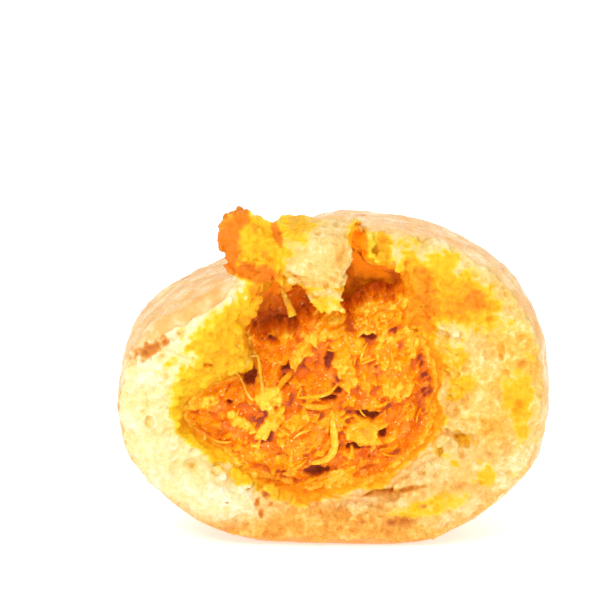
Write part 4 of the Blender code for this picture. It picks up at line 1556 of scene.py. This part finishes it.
# The lights: name, place, size, watts and colour, and what they all face
LIGHTS = (
    ("key", (-0.26, -0.36, 0.44), 0.16, 0.70, (1.0, 0.99, 0.97)),
    ("fill", (0.40, -0.40, 0.20), 0.40, 0.36, (1.0, 1.0, 1.0)),
    ("back", (0.10, 0.42, 0.46), 0.50, 0.9, (1.0, 1.0, 1.0)),
    ("glints", (-0.10, -0.44, 0.30), 0.008, 0.55, (1.0, 1.0, 1.0)),
)
LIT_PLACE = Vector((0.0, -0.01, 0.025))

# The surround is white up to the first height and dims towards the second one, as parts of its radius
SURROUND = {"From Min": 0.12, "From Max": 0.55, "To Min": 1.0, "To Max": 0.66}

# The white floor: how far it reaches, how much light it throws back, and how much it gives off itself
FLOOR_REACH = 6.0
FLOOR_SHADE = 0.8
FLOOR_GLOW = 0.54


def add_camera():
    lift = math.radians(CAMERA_ELEVATION)
    back = Vector((0.0, -math.cos(lift), math.sin(lift)))
    data = bpy.data.cameras.new("camera")
    data.sensor_width = SENSOR_WIDTH
    data.lens = SENSOR_WIDTH * CAMERA_DISTANCE / FIELD_WIDTH
    data.clip_start = 0.01
    camera = bpy.data.objects.new("camera", data)
    camera.location = Vector(CAMERA_AIM) + back * CAMERA_DISTANCE
    camera.rotation_euler = back.to_track_quat("Z", "Y").to_euler()
    bpy.context.scene.collection.objects.link(camera)
    bpy.context.scene.camera = camera


def add_light(name, place, size, watts, tint):
    data = bpy.data.lights.new(name, "AREA")
    data.size = size
    data.energy = watts
    data.color = tint
    light = bpy.data.objects.new(name, data)
    light.location = place
    light.rotation_euler = (Vector(place) - LIT_PLACE).to_track_quat("Z", "Y").to_euler()
    bpy.context.scene.collection.objects.link(light)


def add_surround():
    """A surround that is white low down and dimmer overhead."""
    world = bpy.data.worlds.new("surround")
    world.use_nodes = True
    tree = world.node_tree
    split = tree.nodes.new("ShaderNodeSeparateXYZ")
    span = tree.nodes.new("ShaderNodeMapRange")
    tree.links.new(tree.nodes.new("ShaderNodeTexCoord").outputs["Generated"], split.inputs["Vector"])
    tree.links.new(split.outputs["Z"], span.inputs["Value"])
    for name, number in SURROUND.items():
        span.inputs[name].default_value = number
    tree.links.new(span.outputs["Result"], tree.nodes["Background"].inputs["Strength"])
    tree.nodes["Background"].inputs["Color"].default_value = (1.0, 1.0, 1.0, 1.0)
    bpy.context.scene.world = world


def add_floor():
    """A flat white floor, lit a little from within so that it stays white."""
    side = FLOOR_REACH
    corners = np.array(((-side, -side, 0.0), (side, -side, 0.0), (side, side, 0.0), (-side, side, 0.0)))
    floor = mesh_object("floor", corners, np.array(((0, 1, 2), (0, 2, 3))))
    shader = Shader("white_floor")
    shader.fix(
        {
            "Base Color": (FLOOR_SHADE, FLOOR_SHADE, FLOOR_SHADE, 1.0),
            "Roughness": 0.8,
            "Specular IOR Level": 0.0,
            "Emission Color": (1.0, 1.0, 1.0, 1.0),
            "Emission Strength": FLOOR_GLOW,
        }
    )
    floor.data.materials.append(shader.material)


bpy.context.scene.view_settings.view_transform = "Standard"
add_camera()
add_surround()
add_floor()
for light in LIGHTS:
    add_light(*light)

ground = Ground()
rim = Mouth(ground, ground.dough_tree)
dough = make_dough(ground, rim)
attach(dough, "root")
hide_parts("dough")
heap = Heap(ground, Mouth(ground, tree_of(points_of(dough), triangles_of(dough))))
filling = make_filling(heap)
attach(filling, "root")
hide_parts("chicken_filling")
loose = make_loose_shreds(ground, heap)
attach(loose, "root")
threads = make_threads(ground)
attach(threads, "root")
